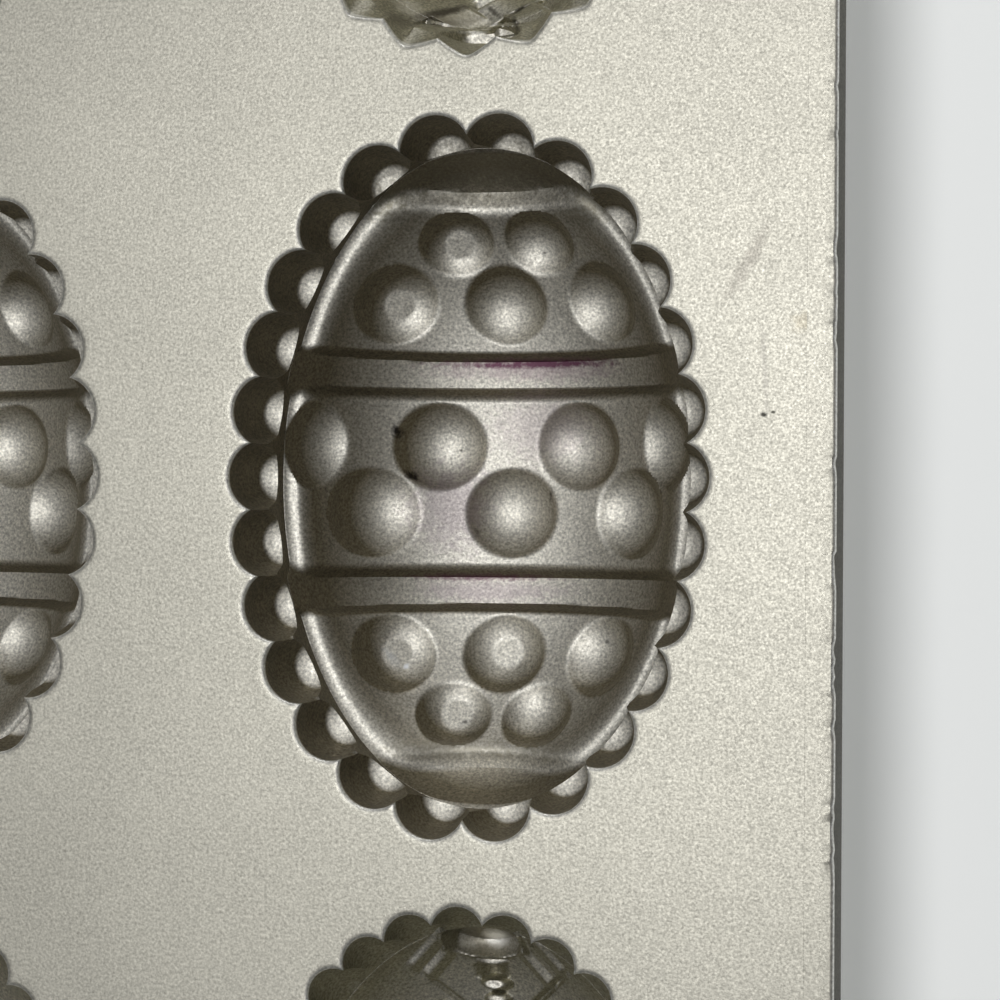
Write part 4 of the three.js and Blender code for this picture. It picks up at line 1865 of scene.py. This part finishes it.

# Painted shade and painted highlights in the two neighbouring wells, standing in for their light
# and shadow.
SIDE_PAINTED_LIGHT = (
    # Ribbon well's bow knot: a dark patch of painted shade and a near-white painted highlight.
    StainOrPaintedLight((0.0, -68.4, -16.5), (7.5, 4.2, 7.0), (0.24, 0.22, 0.17), 0.80),
    StainOrPaintedLight((0.9, -68.2, -16.5), (2.6, 1.9, 5.0), (0.98, 0.97, 0.93), 0.85),
    # Lattice well's near end: dark painted shadow lines between strands, and a pale painted
    # highlight on one strand.
    StainOrPaintedLight((-6.6, 67.2, -9.5), (4.8, 1.1, 6.0), (0.22, 0.20, 0.15), 0.80, -12.0),
    StainOrPaintedLight((-3.0, 67.9, -10.0), (5.5, 1.8, 7.0), (0.30, 0.275, 0.20), 0.60),
    StainOrPaintedLight((-5.8, 69.1, -10.0), (6.2, 1.2, 7.0), (0.06, 0.05, 0.035), 0.88, 20.0),
    StainOrPaintedLight((0.5, 69.1, -10.0), (2.6, 0.55, 7.0), (0.07, 0.06, 0.04), 0.85, -40.0),
    StainOrPaintedLight((5.1, 69.1, -10.0), (2.6, 0.55, 7.0), (0.07, 0.06, 0.04), 0.85, 43.0),
    StainOrPaintedLight((5.3, 66.2, -9.0), (2.6, 0.5, 7.0), (0.08, 0.07, 0.05), 0.80, -57.0),
    StainOrPaintedLight((-12.4, 66.2, -7.0), (3.8, 2.4, 6.0), (0.15, 0.135, 0.095), 0.80),
    StainOrPaintedLight((-11.8, 69.6, -10.5), (3.6, 1.8, 5.0), (0.62, 0.59, 0.50), 0.60, -35.0),
)

COLLARS = {
    Pattern.LATTICE: ToothedCollar, Pattern.DOTS: BeadedCollar, Pattern.RIBBON: ScallopedCollar,
}
CUPS = {Pattern.LATTICE: LatticeCup, Pattern.DOTS: DottedCup, Pattern.RIBBON: RibbonCup}
COATINGS = (
    Coating("coated_casting", stains_and_painted_light=STAINS_AND_PAINTED_LIGHT),
    # The other wells: a lighter painted shade on their steep walls, and their own painted shade and
    # highlights.
    Coating(
        "coated_beside", wall_shade_colour=(0.36, 0.34, 0.25), raggedness=0.12, stains_and_painted_light=SIDE_PAINTED_LIGHT,
    ),
    Coating("coated_outside", wall_shade_colour=Coating.deck_colour),
    # The rim: a very dark painted shade on its steep sides.
    Coating("coated_edge", wall_shade_colour=(0.10, 0.095, 0.077)),
)


def main() -> None:
    """Build the studio and the pan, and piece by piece."""
    logging.basicConfig(level=logging.INFO, format="%(name)s %(message)s")
    middle = Site(Pattern.DOTS, Side.RIGHT).centre
    Studio(middle).build()
    inside, beside, outside, edge = (coating.material(middle) for coating in COATINGS)
    sites = [Site(pattern, side) for pattern in Pattern for side in Side]
    collars = [COLLARS[site.pattern](site) for site in sites]
    low, high = (np.array(corner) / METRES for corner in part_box("rim_lip"))
    top = float(high[2])
    outline = Outline(float(high[0] - low[0]) / 2, float(high[1] - low[1]) / 2)
    Deck(outline, collars, top).build([inside, outside])
    Rim(outline, top, float(high[2] - low[2])).build([edge, outside])
    for node, end in (("end_grip_far", 1), ("end_grip_near", -1)):
        EndGrip(node, end, outline.half_length, top).build([inside, outside])
    for collar in collars:
        lining = inside if collar.site.pattern is Pattern.DOTS else beside
        collar.build([lining, outside])
        CUPS[collar.site.pattern](collar.site).build([lining, outside])


if __name__ == "__main__":
    main()
